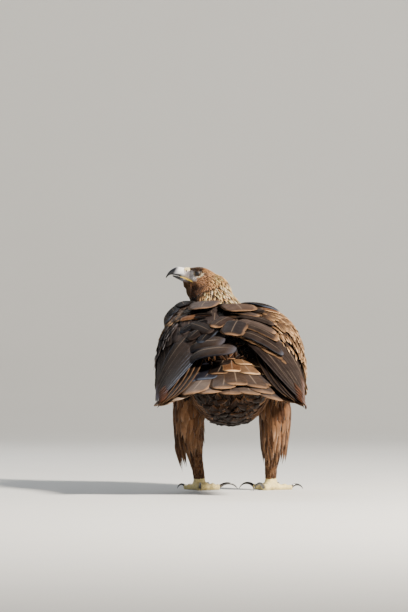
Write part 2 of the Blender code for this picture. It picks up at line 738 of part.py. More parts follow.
def build_wing(side, home, cutters):
    """One folded wing: its arm with the primaries, the secondaries and their coverts."""
    name = "wing_left" if side > 0 else "wing_right"
    surface = wing_surface(side)
    rng = random.Random(f"{SEED} {name}")
    rows = np.linspace(ARM_FRONT, ARM_BACK, 7)
    share = np.linspace(0, 1, 9)
    along = np.repeat(rows[:, None], len(share), 1)
    inner = ARM_INNER[0] + (ARM_INNER[1] - ARM_INNER[0]) * ease(along, ARM_FRONT, ARM_FRONT + 0.07)
    outer = CAPE_SURFACE.lower_edge(along) - ARM_LOWER_MARGIN
    across = inner + (outer - inner) * share
    bump = np.clip(1 - ((along - ARM_MIDDLE[0]) / ARM_REACH[0]) ** 2, 0, 1)
    bump = bump * np.clip(1 - ((across - ARM_MIDDLE[1]) / ARM_REACH[1]) ** 2, 0, 1)
    wing = shell_solid(name, surface, along, across, ARM_DEPTH, ARM_EDGE + ARM_THICK * bump, home)

    vanes = collection("vanes")

    def lay(root, tip, half, height, outline, spread=0.0015, **shape):
        tip = (tip[0] + rng.uniform(-2, 2) * spread, tip[1] + rng.uniform(-1, 1) * spread)
        vane(surface, root, tip, half, height, outline, vanes, **shape)

    last = len(PRIMARY_TIPS) - 1
    for k, tip_along in enumerate(PRIMARY_TIPS):
        share = k / last
        root = mix(np.array(PRIMARY_ROOTS), share)
        tip = (tip_along, CAPE_SURFACE.lower_edge(tip_along) - mix(PRIMARY_MARGIN, share))
        height = PRIMARY_HEIGHT - PRIMARY_STEP * (last - k)
        lay(root, tip, mix(PRIMARY_HALF, share), height, FLIGHT, 0.001, tilt=0.03, lift=PRIMARY_LIFT)
    for k in range(SECONDARIES):
        share = k / (SECONDARIES - 1)
        root, tip = mix(np.array(SECONDARY_ROOTS), share), mix(np.array(SECONDARY_TIPS), share)
        lay(root, tip, SECONDARY_HALF, SECONDARY_HEIGHT, FLIGHT, across=2, sink=0.008, sunk=0.12,
            tilt=SECONDARY_TILT)
    for k in range(COVERTS):
        share = (k + 0.3) / COVERTS
        root, tip = mix(np.array(SECONDARY_ROOTS), share), mix(np.array(SECONDARY_TIPS), share)
        way = direction(root, tip)
        root, tip = root + way * COVERT_PLACE[0], root + way * COVERT_PLACE[1]
        sink = COVERT_HEIGHT + ARM_DEPTH + 0.0018
        lay(root, tip, COVERT_HALF, COVERT_HEIGHT, BROAD, across=2, sink=sink, tilt=SECONDARY_TILT)
    joined(wing, vanes)
    return cut(wing, cutters["torso"], cutters["neck"])


def build_mantle(home, cutters):
    """The middle of the back with the mantle and the scapular feathers in three tiers."""
    along, across = np.meshgrid(
        np.linspace(MANTLE_FRONT, MANTLE_BACK, 5), np.linspace(-MANTLE_HALF, MANTLE_HALF, 5), indexing="ij"
    )
    thick = 0 * along + MANTLE_THICK
    mantle = shell_solid("mantle", back_surface, along, across, MANTLE_DEPTH, thick, home)
    rng = random.Random(f"{SEED} mantle")
    vanes = collection("vanes")
    for root, tip, root_step, tip_step, half, height, count in MANTLE_TIERS:
        for n in range(count):
            k = n - (count - 1) / 2
            start = (root - 0.004 * abs(k), root_step * k)
            end = (tip - 0.006 * abs(k) + rng.uniform(-0.005, 0.005), tip_step * k + rng.uniform(-0.002, 0.002))
            tilt = 0.03 * np.sign(k)
            high = height - 0.0008 * abs(k)
            sink = high + MANTLE_DEPTH + 0.0018
            vane(back_surface, start, end, half, high, BROAD, vanes, sink=sink, tilt=tilt, across=1)
    joined(mantle, vanes)
    return cut(mantle, cutters["torso"], cutters["neck"])


def build_tail(home, cutters):
    """The spread tail: its root, twelve wide feathers and the coverts above and below them."""
    rings = []
    normal = tail_surface(0, 0, 1) - tail_surface(0, 0, 0)
    for along, half, up, down in (
        (-0.025, 0.042, 0.003, 0.026),
        (0.010, 0.042, 0.003, 0.022),
        (0.035, 0.040, 0.0025, 0.015),
        (0.060, 0.036, 0.001, 0.0095),
    ):
        centre = tail_surface(along, 0, 0)
        rings.append(section_ring(centre, X_AXIS, normal, half, up, down, 3.0, 14))
    tail = ring_solid("tail", rings, home)
    rng = random.Random(f"{SEED} tail")
    vanes = collection("vanes")
    for k in range(-RECTRIX_PAIRS, RECTRIX_PAIRS + 1):
        if k:
            place = (k - math.copysign(0.5, k)) / (RECTRIX_PAIRS - 0.5)
            turn = math.radians(TAIL_FAN * place)
            length = RECTRIX_LENGTH - 0.022 * place**2 + rng.uniform(-0.003, 0.003)
            root = (0.0, RECTRIX_ROOTS * place)
            tip = (root[0] + length * math.cos(turn), root[1] + length * math.sin(turn))
            height = -0.0014 * abs(k) + (0.0007 if k > 0 else 0.0)
            tilt = math.copysign(0.03, k)
            vane(tail_surface, root, tip, RECTRIX_HALF, height, FLIGHT, vanes, tilt=tilt)
    for root, tip, root_step, tip_step, half, height, sink in (
        (0.012, 0.115, 0.0130, 0.0340, 0.0250, 0.0050, 0.0050),
        (0.005, 0.130, 0.0130, 0.0320, 0.0240, -0.0120, -0.0030),
    ):
        for k in range(-2, 3):
            end = (tip - 0.005 * abs(k) + rng.uniform(-0.004, 0.004), tip_step * k)
            fall = math.copysign(0.0012, height) * abs(k)
            tilt = math.copysign(0.03, height) * np.sign(k)
            vane(tail_surface, (root, root_step * k), end, half, height - fall, BROAD, vanes, sink=sink, tilt=tilt)
    joined(tail, vanes)
    return cut(tail, cutters["torso"])


def build_leg(side, home, cutters):
    """A thigh with its long trouser feathers, and the feathered tarsus below it."""
    name = "left" if side > 0 else "right"
    thigh = ring_solid(f"thigh_{name}", leg_rings(THIGH, side, 18, 9), home)
    surface = trouser_surface(side)
    rng = random.Random(f"{SEED} trousers {name}")
    locks = collection("locks")
    for tier, (root, tip, half, first, last, count) in enumerate(LOCK_TIERS):
        for k in range(count):
            turn = first + (last - first) * k / (count - 1)
            across = math.radians(turn) * LOCK_SPREAD
            short = 0.018 * abs(turn) / 110 + rng.uniform(-0.006, 0.006)
            start = (root, across + rng.uniform(-0.001, 0.001))
            end = (tip + short, across + rng.uniform(-0.003, 0.003))
            high = 0.0022 * tier
            vane(surface, start, end, half, high, LOCK, locks, sink=0.0065 + high, thick=LOCK_THICK)
    joined(thigh, locks)
    cut(thigh, cutters["torso"])
    tarsus = ring_solid(f"tarsus_{name}", leg_rings(TARSUS, side, 14, 5), home)
    return thigh, tarsus


def foot_place(side):
    left, right, y, z, half, deep = columns(TARSUS)
    x = left[-1] if side > 0 else -right[-1]
    return np.array([x, y[-1], 0.0])


def toe_way(side, heading):
    turn = math.radians(heading + FOOT_TURNS[0 if side > 0 else 1])
    return np.array([side * math.sin(turn), -math.cos(turn), 0.0])


def build_foot(side, home, tools):
    """The pad and four toes of one foot, cut flat below where they stand on the floor, and the claws."""
    name = "left" if side > 0 else "right"
    centre = foot_place(side)
    rings = []
    for height, size in ((0.0060, 0.0130), (0.0140, 0.0150), (0.0210, 0.0135), (FOOT_TOP, 0.0128)):
        rings.append(section_ring(centre + Z_AXIS * height, X_AXIS, Y_AXIS, size, size, size, 2.0, 12))
    foot = ring_solid(f"foot_{name}", rings, home)
    toes = collection("toes")
    ball("pad", centre + Z_AXIS * PAD_HEIGHT, PAD_SIZE, toes, 12, 8)
    claws = []
    for toe, heading, reach, radius, claw in TOES:
        way = toe_way(side, heading)
        across = np.cross(way, Z_AXIS)
        rings = []
        for share in np.linspace(0.08, 1, 7):
            joint = 1 + 0.10 * math.cos(share * 2 * math.pi * round(reach / 0.018))
            size = radius * (1.06 - 0.30 * share) * joint
            place = centre + way * reach * share + Z_AXIS * (size - FLAT)
            rings.append(section_ring(place, across, Z_AXIS, size * 1.02, size, size, 2.1, 8))
        ring_solid("toe", rings, toes)
        tip = centre + way * (reach + GAP) + Z_AXIS * (radius * 0.62 + 0.0012)
        rings = []
        base = CLAW_RADIUS * (0.75 + 6.5 * (claw - 0.029))
        turns = np.radians(np.linspace(CLAW_RISE, CLAW_FALL, 7))
        step = claw / np.cos(turns[:-1]).sum()
        place = tip.copy()
        for k, turn in enumerate(turns):
            ahead = way * math.cos(turn) + Z_AXIS * math.sin(turn)
            over = Z_AXIS if k == 0 else np.cross(across, ahead)
            size = base * (1 - k / (len(turns) - 1)) ** 0.8 + 0.0005
            rings.append(section_ring(place, across, over, size * 0.82, size, size, 2.0, 7))
            place = place + ahead * step
        claws.append(ring_solid(f"talon_{name}_{toe}", rings, home))
    joined(foot, toes)
    bm = bmesh.new()
    bmesh.ops.create_cube(bm, size=1)
    size = Matrix.Translation((centre[0], centre[1], -0.05)) @ Matrix.Diagonal((0.4, 0.4, 0.1, 1))
    bmesh.ops.transform(bm, matrix=size, verts=bm.verts)
    floor = object_from("below_floor", bm, tools)
    cut(foot, floor)
    return foot, *claws


def colour(obj):
    """Gives an object a material of its own in the photo's colour, and shades it smooth."""
    kind = obj.name.split("_")[0]
    (red, green, blue), rough = COLOURS[kind]
    material = bpy.data.materials.new(obj.name)
    material.use_nodes = True
    shader = material.node_tree.nodes["Principled BSDF"]
    shader.inputs["Base Color"].default_value = (red, green, blue, 1)
    shader.inputs["Roughness"].default_value = rough
    obj.data.materials.clear()
    obj.data.materials.append(material)
    obj.data.polygons.foreach_set("use_smooth", [True] * len(obj.data.polygons))


def stand_on_origin(objects):
    """Moves the whole bird so that the middle of its box's underside is the origin."""
    places = np.concatenate([[v.co for v in obj.data.vertices] for obj in objects])
    low, high = places.min(0), places.max(0)
    step = Vector((-(low[0] + high[0]) / 2, -(low[1] + high[1]) / 2, -low[2]))
    for obj in objects:
        obj.data.transform(Matrix.Translation(step))


def main():
    for obj in list(bpy.data.objects):
        bpy.data.objects.remove(obj)
    eagle = collection("golden_eagle")
    tools = collection("cutters")
    throat = Vector(EYE_LINE) + Vector(THROAT_MIDDLE)
    cutters = {
        "torso": ring_solid("torso_room", torso_rings(ROOM), tools),
        "neck": ring_solid("neck_room", neck_rings(ROOM), tools),
        "head": ring_solid("head_room", head_rings(ROOM), tools),
        "jaw": ring_solid("jaw_room", jaw_rings(ROOM), tools),
        "throat": ball("throat_room", throat, [size + ROOM for size in THROAT_SIZE], tools, 12, 10),
    }
    ring_solid("torso", torso_rings(), eagle)
    build_neck(eagle, cutters)
    build_head(eagle, tools)
    build_bill(eagle, tools)
    for side, name in ((1, "left"), (-1, "right")):
        place = Vector(EYE_LINE) + Vector((0, EYE_SIDE * side, 0))
        ball(f"eye_{name}", place, [EYE_RADIUS] * 3, eagle, 16, 9)
        build_wing(side, eagle, cutters)
        build_leg(side, eagle, cutters)
        build_foot(side, eagle, tools)
    build_mantle(eagle, cutters)
    build_tail(eagle, cutters)
    for obj in eagle.objects:
        colour(obj)
    for obj in tools.objects:
        obj.hide_render = True
        obj.display_type = "WIRE"
    stand_on_origin(list(eagle.objects))


main()
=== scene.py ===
"""The looks of a golden eagle that stands with its back to the camera and its head turned to its left.

The bird is drawn about a line between its feet and every mesh is then moved to where the solids stand.
"""

import math

import bpy
import numpy as np
from mathutils import Matrix, Vector
from mathutils.bvhtree import BVHTree


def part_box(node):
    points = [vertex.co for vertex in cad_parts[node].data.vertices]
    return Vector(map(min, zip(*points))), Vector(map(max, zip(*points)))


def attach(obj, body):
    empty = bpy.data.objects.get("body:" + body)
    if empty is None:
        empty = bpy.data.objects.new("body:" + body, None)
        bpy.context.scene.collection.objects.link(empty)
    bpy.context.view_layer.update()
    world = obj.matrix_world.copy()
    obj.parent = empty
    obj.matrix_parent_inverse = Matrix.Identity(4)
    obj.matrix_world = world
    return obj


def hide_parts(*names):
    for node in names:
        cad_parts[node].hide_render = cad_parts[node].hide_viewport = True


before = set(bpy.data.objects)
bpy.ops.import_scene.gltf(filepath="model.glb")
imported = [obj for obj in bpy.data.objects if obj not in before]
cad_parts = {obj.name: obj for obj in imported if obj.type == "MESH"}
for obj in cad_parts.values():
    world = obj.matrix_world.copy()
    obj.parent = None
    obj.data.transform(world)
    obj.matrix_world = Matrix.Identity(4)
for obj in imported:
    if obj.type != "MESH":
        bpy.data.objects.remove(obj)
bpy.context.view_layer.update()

BODY = "root"
SEED = 11

# The torso, read from the tail's root to the breast: place along Y, top and bottom heights, half width.
TORSO = (
    (0.188, 0.312, 0.262, 0.034),
    (0.165, 0.326, 0.226, 0.056),
    (0.125, 0.346, 0.182, 0.078),
    (0.07, 0.366, 0.152, 0.096),
    (0.0, 0.382, 0.146, 0.106),
    (-0.06, 0.39, 0.16, 0.108),
    (-0.115, 0.39, 0.184, 0.104),
    (-0.16, 0.385, 0.212, 0.093),
    (-0.2, 0.371, 0.248, 0.072),
    (-0.226, 0.35, 0.288, 0.042),
    (-0.234, 0.332, 0.31, 0.018),
)
# The neck, from inside the breast to inside the head: centre, half width, half depth.
NECK = (
    (0.004, -0.122, 0.332, 0.084, 0.074),
    (0.023, -0.153, 0.378, 0.064, 0.064),
    (0.04, -0.181, 0.418, 0.0525, 0.052),
    (0.044, -0.195, 0.446, 0.047, 0.0435),
    (0.0585, -0.202, 0.468, 0.031, 0.032),
)
# The head in its own measures: place ahead of the eyes, top and bottom from the eye line, half width.
EYE_LINE = np.array((0.0713, -0.205, 0.4865))
HEAD = (
    (-0.052, -0.017, -0.022, 0.005),
    (-0.048, -0.011, -0.031, 0.014),
    (-0.038, -0.001, -0.04, 0.024),
    (-0.024, 0.0082, -0.043, 0.029),
    (-0.01, 0.014, -0.0425, 0.0305),
    (0.002, 0.015, -0.039, 0.0285),
    (0.011, 0.014, -0.0345, 0.024),
    (0.02, 0.013, -0.03, 0.0165),
)
# The lower jaw: place ahead of the eyes, bottom from the eye line, half width.
JAW = (
    (0.006, -0.037, 0.019),
    (0.02, -0.0345, 0.0152),
    (0.029, -0.0292, 0.0115),
    (0.0345, -0.0232, 0.0087),
)
# The throat: its middle from the eye line and its size.
THROAT_MIDDLE = (0.011, 0.0, -0.041)
THROAT_SIZE = (0.0155, 0.0205, 0.023)
# The loose skin of chin and throat: middles from the eye line, and sizes.
SOFT_THROAT = (
    ((0.0235, 0.0, -0.027), (0.0115, 0.0095, 0.0085)),
    ((0.015, 0.0, -0.0385), (0.0135, 0.0165, 0.019)),
)
# The line of the mouth: place ahead of the eyes and height from the eye line.
MOUTH = (
    (0.012, -0.019),
    (0.022, -0.0148),
    (0.032, -0.0108),
    (0.0392, -0.0083),
    (0.0465, -0.0062),
    (0.0535, -0.0047),
    (0.06, -0.0038),
)
# Below and above it the bill stays clear of the line by this much.
MOUTH_GAP = 0.0004
# The cere: place ahead, height of its ridge, half width.
CERE = ((0.0203, 0.013, 0.014), (0.0262, 0.0132, 0.0122), (0.0317, 0.0126, 0.0106))
# The upper bill: its ridge and its edge, each ahead and up from the eyes, and its half width.
BILL = (
    (0.032, 0.0124, 0.032, -0.0103, 0.0104),
    (0.039, 0.014, 0.0392, -0.0078, 0.0094),
    (0.047, 0.0148, 0.0465, -0.0057, 0.0082),
    (0.0545, 0.0129, 0.0535, -0.0042, 0.007),
    (0.0615, 0.009, 0.059, -0.0033, 0.0056),
    (0.0675, 0.0034, 0.0635, -0.0036, 0.0042),
    (0.0716, -0.0024, 0.0675, -0.0052, 0.0028),
    (0.0739, -0.007, 0.071, -0.0083, 0.0016),
    (0.0746, -0.0106, 0.0736, -0.0109, 0.0006),
)
# The lower bill: place ahead, bottom, half width.
LOWER_BILL = (
    (0.0349, -0.02, 0.008),
    (0.044, -0.015, 0.0068),
    (0.053, -0.0106, 0.0052),
    (0.059, -0.0072, 0.0026),
)
# The eyes: radius, distance from the middle, turn ahead in degrees, and the ring of the lid.
EYE_RADIUS = 0.0104
EYE_SIDE = 0.0196
EYE_TURN = 14.0
LID_RADIUS = 0.0082
LID_OUT = 0.007
# The brow: its middle from the eye line and its size.
BROW_MIDDLE = (0.003, 0.0238, 0.0096)
BROW_SIZE = (0.016, 0.0058, 0.004)
# The nostril: its middle from the eyes, its half width and half height, and how deep it is.
NOSTRIL = (0.0275, 0.005)
NOSTRIL_SIZE = (0.0016, 0.0026)
NOSTRIL_DEPTH = 0.0024
# The yellow edge of the mouth: place ahead, distance out and thickness.
GAPE = (
    (0.0115, 0.0206, 0.0003), (0.014, 0.0194, 0.001), (0.017, 0.018, 0.0012), (0.0203, 0.0158, 0.0012),
    (0.0262, 0.0129, 0.0011), (0.032, 0.011, 0.0009), (0.0385, 0.0093, 0.0006), (0.042, 0.0084, 0.0003),
)
# How deep the skin lies under each part of the coat, and how fine its surface is.
BODY_COAT, NECK_COAT, HEAD_COAT, JAW_COAT = 0.005, 0.003, 0.0016, 0.0008
THROAT_COAT, BROW_COAT, LEG_COAT = 0.0012, 0.0006, 0.004
SKIN_VOXEL = 0.0021
FOOT_VOXEL = 0.0008

# The cape that the folded wings make, read from the breast to the wing tips:
# place along Y, half width, top, height where the side turns down, lower edge, fullness of the arch.
CAPE = (
    (-0.21, 0.088, 0.376, 0.31, 0.27, 2.2),
    (-0.14, 0.13, 0.408, 0.275, 0.245, 2.6),
    (-0.07, 0.153, 0.415, 0.257, 0.23, 2.9),
    (0.0, 0.164, 0.413, 0.25, 0.22, 2.9),
    (0.07, 0.168, 0.399, 0.245, 0.213, 2.7),
    (0.14, 0.168, 0.375, 0.236, 0.208, 2.25),
    (0.21, 0.166, 0.344, 0.222, 0.208, 1.8),
    (0.28, 0.166, 0.316, 0.211, 0.206, 1.65),
    (0.36, 0.168, 0.29, 0.206, 0.203, 1.6),
    (0.47, 0.172, 0.262, 0.203, 0.2, 1.6),
)
# How much wider the cape is below the turn of its side, and how far it is followed across.
CAPE_FLARE = 0.003
CAPE_REACH = 0.36
# The left shoulder stands higher: rise, its middle and reach along Y, and where across it starts and ends.
SHOULDER_RISE = 0.022
SHOULDER_ALONG = (-0.085, 0.06)
SHOULDER_ACROSS = (0.045, 0.11, 0.135, 0.172)

# The tail's root and its slope, and how much its sides droop.
TAIL_ROOT = (0.165, 0.29)
TAIL_DROOP = 13.0
TAIL_ARCH = 1.5

# The legs under their feathers: X of the left and of the right leg, Y, Z, half width, half depth.
THIGH = (
    (0.084, 0.09, -0.012, 0.262, 0.03, 0.046),
    (0.0915, 0.099, -0.008, 0.215, 0.034, 0.05),
    (0.0925, 0.1015, 0.002, 0.17, 0.034, 0.046),
    (0.089, 0.1, 0.012, 0.13, 0.031, 0.036),
    (0.084, 0.0975, 0.018, 0.104, 0.025, 0.026),
    (0.079, 0.095, 0.019, 0.088, 0.0175, 0.018),
    (0.076, 0.0935, 0.014, 0.066, 0.015, 0.0155),
    (0.0715, 0.092, 0.007, 0.043, 0.0132, 0.0138),
    (0.069, 0.092, 0.002, 0.024, 0.0125, 0.0132),
)
# The outside of the trousers, the same way.
TROUSERS = (
    (0.091, 0.1, -0.007, 0.21, 0.036, 0.052),
    (0.092, 0.1015, 0.006, 0.15, 0.0345, 0.044),
    (0.0915, 0.0995, 0.018, 0.1, 0.0325, 0.034),
    (0.085, 0.099, 0.024, 0.06, 0.0285, 0.028),
    (0.079, 0.0965, 0.028, 0.03, 0.0245, 0.024),
)
# How far apart a turn of one radian lies on the trousers.
LOCK_SPREAD = 0.033
# How much of each toe's underside is flat, and the pad and the ankle of the foot.
FLAT = 0.0012
PAD_SIZE = (0.017, 0.018, 0.0125)
PAD_HEIGHT = 0.0105
ANKLE = ((0.006, 0.013), (0.011, 0.0148), (0.016, 0.0146), (0.021, 0.0135), (0.0265, 0.0128))
# Each toe: heading in degrees, reach, radius and length of its claw.
TOES = (
    ("inner", -62.0, 0.046, 0.009, 0.042),
    ("middle", 4.0, 0.066, 0.0084, 0.035),
    ("outer", 56.0, 0.052, 0.0078, 0.029),
    ("hind", -160.0, 0.034, 0.0092, 0.05),
)
# How far each foot turns, and where the claws start and end in degrees.
FOOT_TURNS = (-18.0, 8.0)
CLAW_RADIUS = 0.0045
CLAW_RISE = 42.0
CLAW_FALL = -68.0

# Colours as linear red, green, blue.
FACE = np.array((0.26, 0.13, 0.062))
LORE = np.array((0.8, 0.7, 0.7))
RUFOUS = np.array((0.12, 0.045, 0.022))
LEG = np.array((0.09, 0.042, 0.02))
YELLOW = np.array((0.96, 0.78, 0.34))
# Near black: the dark brown of the feathers with painted shade over it, for the shaded left shoulder and
# wing.
BLACK_IN_PAINTED_SHADE = np.array((0.004, 0.003, 0.003))
BLACK_BROWN = np.array((0.01, 0.007, 0.006))
DARK = np.array((0.018, 0.013, 0.011))
GREY_BROWN = np.array((0.046, 0.033, 0.028))
WARM = np.array((0.09, 0.042, 0.02))
SAND = np.array((0.3, 0.17, 0.09))
# Pale gold: the golden rims of the sunlit right side with painted sunlight on them.
GOLD_IN_PAINTED_SUN = np.array((0.8, 0.5, 0.26))
# Bluish grey: a painted sheen of sky light on dark feathers, not a colour of their own.
PAINTED_SKY_SHEEN = np.array((0.12, 0.15, 0.21))

# How a feather's points crowd to its tip, how many places are tried for each root, and the darkest tone.
TIP_CROWD = 1.3
SCATTER_TRIES = 4.0
DARKEST = 0.002
# The flat maps: border and size of a feather's island, and the patch of a feather without one.
MAP_GAP, MAP_FILL = 0.04, 0.92
MAP_PATCH = 0.003

X_AXIS, Y_AXIS, Z_AXIS = np.eye(3)


def smooth(stations, values, at):
    """Reads values along the stations on one smooth curve through them."""
    x = np.asarray(stations, float)
    y = np.asarray(values, float)
    if x[0] > x[-1]:
        x, y = x[::-1], y[::-1]
    at = np.clip(np.asarray(at, float), x[0], x[-1])
    slope = np.gradient(y, x)
    i = np.clip(np.searchsorted(x, at, side="right") - 1, 0, len(x) - 2)
    step = x[i + 1] - x[i]
    t = (at - x[i]) / step
    start = y[i] * (1 + 2 * t) * (1 - t) ** 2 + slope[i] * step * t * (1 - t) ** 2
    end = y[i + 1] * t * t * (3 - 2 * t) - slope[i + 1] * step * t * t * (1 - t)
    return start + end


def ease(value, low, high):
    t = np.clip((value - low) / (high - low), 0, 1)
    return t * t * (3 - 2 * t)


def mix(first, second, share):
    first = np.asarray(first, float)
    return first + (np.asarray(second, float) - first) * share


def columns(table):
    return np.array(table, float).T


def unit(v):
    v = np.asarray(v, float)
    return v / np.maximum(np.linalg.norm(v, axis=-1, keepdims=True), 1e-9)


low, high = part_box("eye_left")
SHIFT = np.array((low + high) / 2) - EYE_LINE - EYE_SIDE * Y_AXIS


# Materials

def group_sockets(tree, inputs, outputs):
    for name, kind, value in inputs:
        socket = tree.interface.new_socket(name=name, in_out="INPUT", socket_type=kind)
        socket.default_value = value
    for name, kind in outputs:
        tree.interface.new_socket(name=name, in_out="OUTPUT", socket_type=kind)


def node(tree, kind, **values):
    made = tree.nodes.new(kind)
    for name, value in values.items():
        setattr(made, name, value)
    return made


def math_node(tree, operation, first, second=None, third=None):
    made = node(tree, "ShaderNodeMath", operation=operation)
    for socket, value in zip(made.inputs, (first, second, third)):
        if value is None:
            continue
        if isinstance(value, (int, float)):
            socket.default_value = value
        else:
            tree.links.new(value, socket)
    return made.outputs[0]


def range_node(tree, value, low, high, to_low=0.0, to_high=1.0):
    made = node(tree, "ShaderNodeMapRange", interpolation_type="SMOOTHSTEP")
    tree.links.new(value, made.inputs["Value"])
    made.inputs["From Min"].default_value = low
    made.inputs["From Max"].default_value = high
    made.inputs["To Min"].default_value = to_low
    made.inputs["To Max"].default_value = to_high
    return made.outputs["Result"]


def mix_node(tree, share, first, second, blend="MIX"):
    made = node(tree, "ShaderNodeMix", data_type="RGBA", blend_type=blend)
    if isinstance(share, (int, float)):
        made.inputs["Factor"].default_value = share
    else:
        tree.links.new(share, made.inputs["Factor"])
    for socket, value in ((made.inputs["A"], first), (made.inputs["B"], second)):
        if isinstance(value, tuple):
            socket.default_value = (*value, 1)
        else:
            tree.links.new(value, socket)
    return made.outputs["Result"]


def noise_node(tree, scale, detail=3.0, rough=0.55, stretch=None):
    place = node(tree, "ShaderNodeTexCoord").outputs["Object"]
    if stretch:
        mapping = node(tree, "ShaderNodeMapping")
        mapping.inputs["Scale"].default_value = stretch
        tree.links.new(place, mapping.inputs["Vector"])
        place = mapping.outputs["Vector"]
    made = node(tree, "ShaderNodeTexNoise")
    made.inputs["Scale"].default_value = scale
    made.inputs["Detail"].default_value = detail
    made.inputs["Roughness"].default_value = rough
    tree.links.new(place, made.inputs["Vector"])
    return made.outputs["Fac"]


def feather_web():
    """Turns a feather's tone into its web: slanted barbs, a shaft and uneven wear."""
    tree = bpy.data.node_groups.new("feather_web", "ShaderNodeTree")
    group_sockets(
        tree,
        (
            ("Tone", "NodeSocketColor", (0.1, 0.06, 0.04, 1)),
            ("Barbs", "NodeSocketFloat", 60.0),
            ("Shaft", "NodeSocketFloat", 0.4),
            ("Mottle", "NodeSocketFloat", 0.25),
            ("Roughness", "NodeSocketFloat", 0.6),
        ),
        (("Color", "NodeSocketColor"), ("Height", "NodeSocketFloat"), ("Roughness", "NodeSocketFloat")),
    )
    given = node(tree, "NodeGroupInput").outputs
    result = node(tree, "NodeGroupOutput").inputs
    place = node(tree, "ShaderNodeUVMap", uv_map="feather").outputs["UV"]
    split = node(tree, "ShaderNodeSeparateXYZ")
    tree.links.new(place, split.inputs[0])
    across = math_node(tree, "ABSOLUTE", math_node(tree, "SUBTRACT", split.outputs["X"], 0.5))
    slant = math_node(tree, "SUBTRACT", split.outputs["Y"], math_node(tree, "MULTIPLY", across, 0.55))
    turns = math_node(tree, "MULTIPLY", math_node(tree, "MULTIPLY", slant, given["Barbs"]), 2 * math.pi)
    uneven = math_node(tree, "MULTIPLY", noise_node(tree, 180.0), 5.0)
    barb = math_node(tree, "SINE", math_node(tree, "ADD", turns, uneven))
    shaft = range_node(tree, across, 0.008, 0.03, 1.0, 0.0)
    shaft = math_node(tree, "MULTIPLY", shaft, range_node(tree, split.outputs["Y"], 0.8, 0.97, 1.0, 0.0))
    mottle = range_node(tree, noise_node(tree, 55.0, 4.0), 0.3, 0.7, -1.0, 1.0)
    fine = range_node(tree, noise_node(tree, 420.0, 2.0), 0.25, 0.75, -1.0, 1.0)
    shade = math_node(tree, "MULTIPLY_ADD", mottle, given["Mottle"], 1.0)
    shade = math_node(tree, "MULTIPLY_ADD", barb, 0.06, shade)
    shade = math_node(tree, "MULTIPLY_ADD", fine, 0.07, shade)
    combine = node(tree, "ShaderNodeCombineColor")
    for channel in combine.inputs:
        tree.links.new(shade, channel)
    web = mix_node(tree, 1.0, given["Tone"], combine.outputs["Color"], "MULTIPLY")
    paler = mix_node(tree, 0.35, web, (0.45, 0.34, 0.25))
    color = mix_node(tree, math_node(tree, "MULTIPLY", shaft, given["Shaft"]), web, paler)
    tree.links.new(color, result["Color"])
    ridge = math_node(tree, "MULTIPLY_ADD", shaft, 1.6, math_node(tree, "MULTIPLY", barb, 0.5))
    tree.links.new(ridge, result["Height"])
    rough = math_node(tree, "MULTIPLY_ADD", fine, 0.08, given["Roughness"])
    tree.links.new(rough, result["Roughness"])
    return tree


FEATHER_WEB = feather_web()


def plain_material(name):
    material = bpy.data.materials.new(name)
    material.use_nodes = True
    shader = material.node_tree.nodes["Principled BSDF"]
    return material, material.node_tree, shader


def bump(tree, shader, height, distance, strength=1.0):
    made = node(tree, "ShaderNodeBump")
    made.inputs["Distance"].default_value = distance
    made.inputs["Strength"].default_value = strength
    tree.links.new(height, made.inputs["Height"])
    tree.links.new(made.outputs["Normal"], shader.inputs["Normal"])


def plumage(name, barbs, shaft, mottle, rough, sheen, depth):
    """A feathered finish that takes its colour from each feather's own tone."""
    material, tree, shader = plain_material(name)
    tone = node(tree, "ShaderNodeAttribute", attribute_name="tone").outputs["Color"]
    web = node(tree, "ShaderNodeGroup", node_tree=FEATHER_WEB)
    tree.links.new(tone, web.inputs["Tone"])
    for label, value in (("Barbs", barbs), ("Shaft", shaft), ("Mottle", mottle), ("Roughness", rough)):
        web.inputs[label].default_value = value
    tree.links.new(web.outputs["Color"], shader.inputs["Base Color"])
    tree.links.new(web.outputs["Roughness"], shader.inputs["Roughness"])
    bump(tree, shader, web.outputs["Height"], depth, 0.5)
    shader.inputs["Sheen Weight"].default_value = sheen
    shader.inputs["Sheen Roughness"].default_value = 0.4
    shader.inputs["Specular IOR Level"].default_value = 0.02
    return material


def toned(name, rough, coat, mottle, grain, depth, cells=0.0, stretch=None):
    """Horn and bare skin: each takes its colour from its own tone, with a fine grain or scales."""
    material, tree, shader = plain_material(name)
    tone = node(tree, "ShaderNodeAttribute", attribute_name="tone").outputs["Color"]
    uneven = noise_node(tree, grain, 4.0, stretch=stretch)
    shade = range_node(tree, uneven, 0.25, 0.75, 1 - mottle, 1 + mottle)
    height = uneven
    if cells:
        scale = node(tree, "ShaderNodeTexVoronoi", feature="DISTANCE_TO_EDGE")
        scale.inputs["Scale"].default_value = cells
        tree.links.new(node(tree, "ShaderNodeTexCoord").outputs["Object"], scale.inputs["Vector"])
        edge = range_node(tree, scale.outputs["Distance"], 0.0, 0.18)
        shade = math_node(tree, "MULTIPLY", shade,
                          range_node(tree, scale.outputs["Distance"], 0.0, 0.15, 0.62, 1.0))
        height = math_node(tree, "MULTIPLY_ADD", edge, 1.0, math_node(tree, "MULTIPLY", uneven, 0.2))
    combine = node(tree, "ShaderNodeCombineColor")
    for channel in combine.inputs:
        tree.links.new(shade, channel)
    tree.links.new(mix_node(tree, 1.0, tone, combine.outputs["Color"], "MULTIPLY"),
                   shader.inputs["Base Color"])
    tree.links.new(range_node(tree, uneven, 0.2, 0.8, rough * 0.8, rough * 1.25),
                   shader.inputs["Roughness"])
    bump(tree, shader, height, depth, 0.6)
    shader.inputs["Coat Weight"].default_value = coat
    shader.inputs["Coat Roughness"].default_value = 0.12
    return material


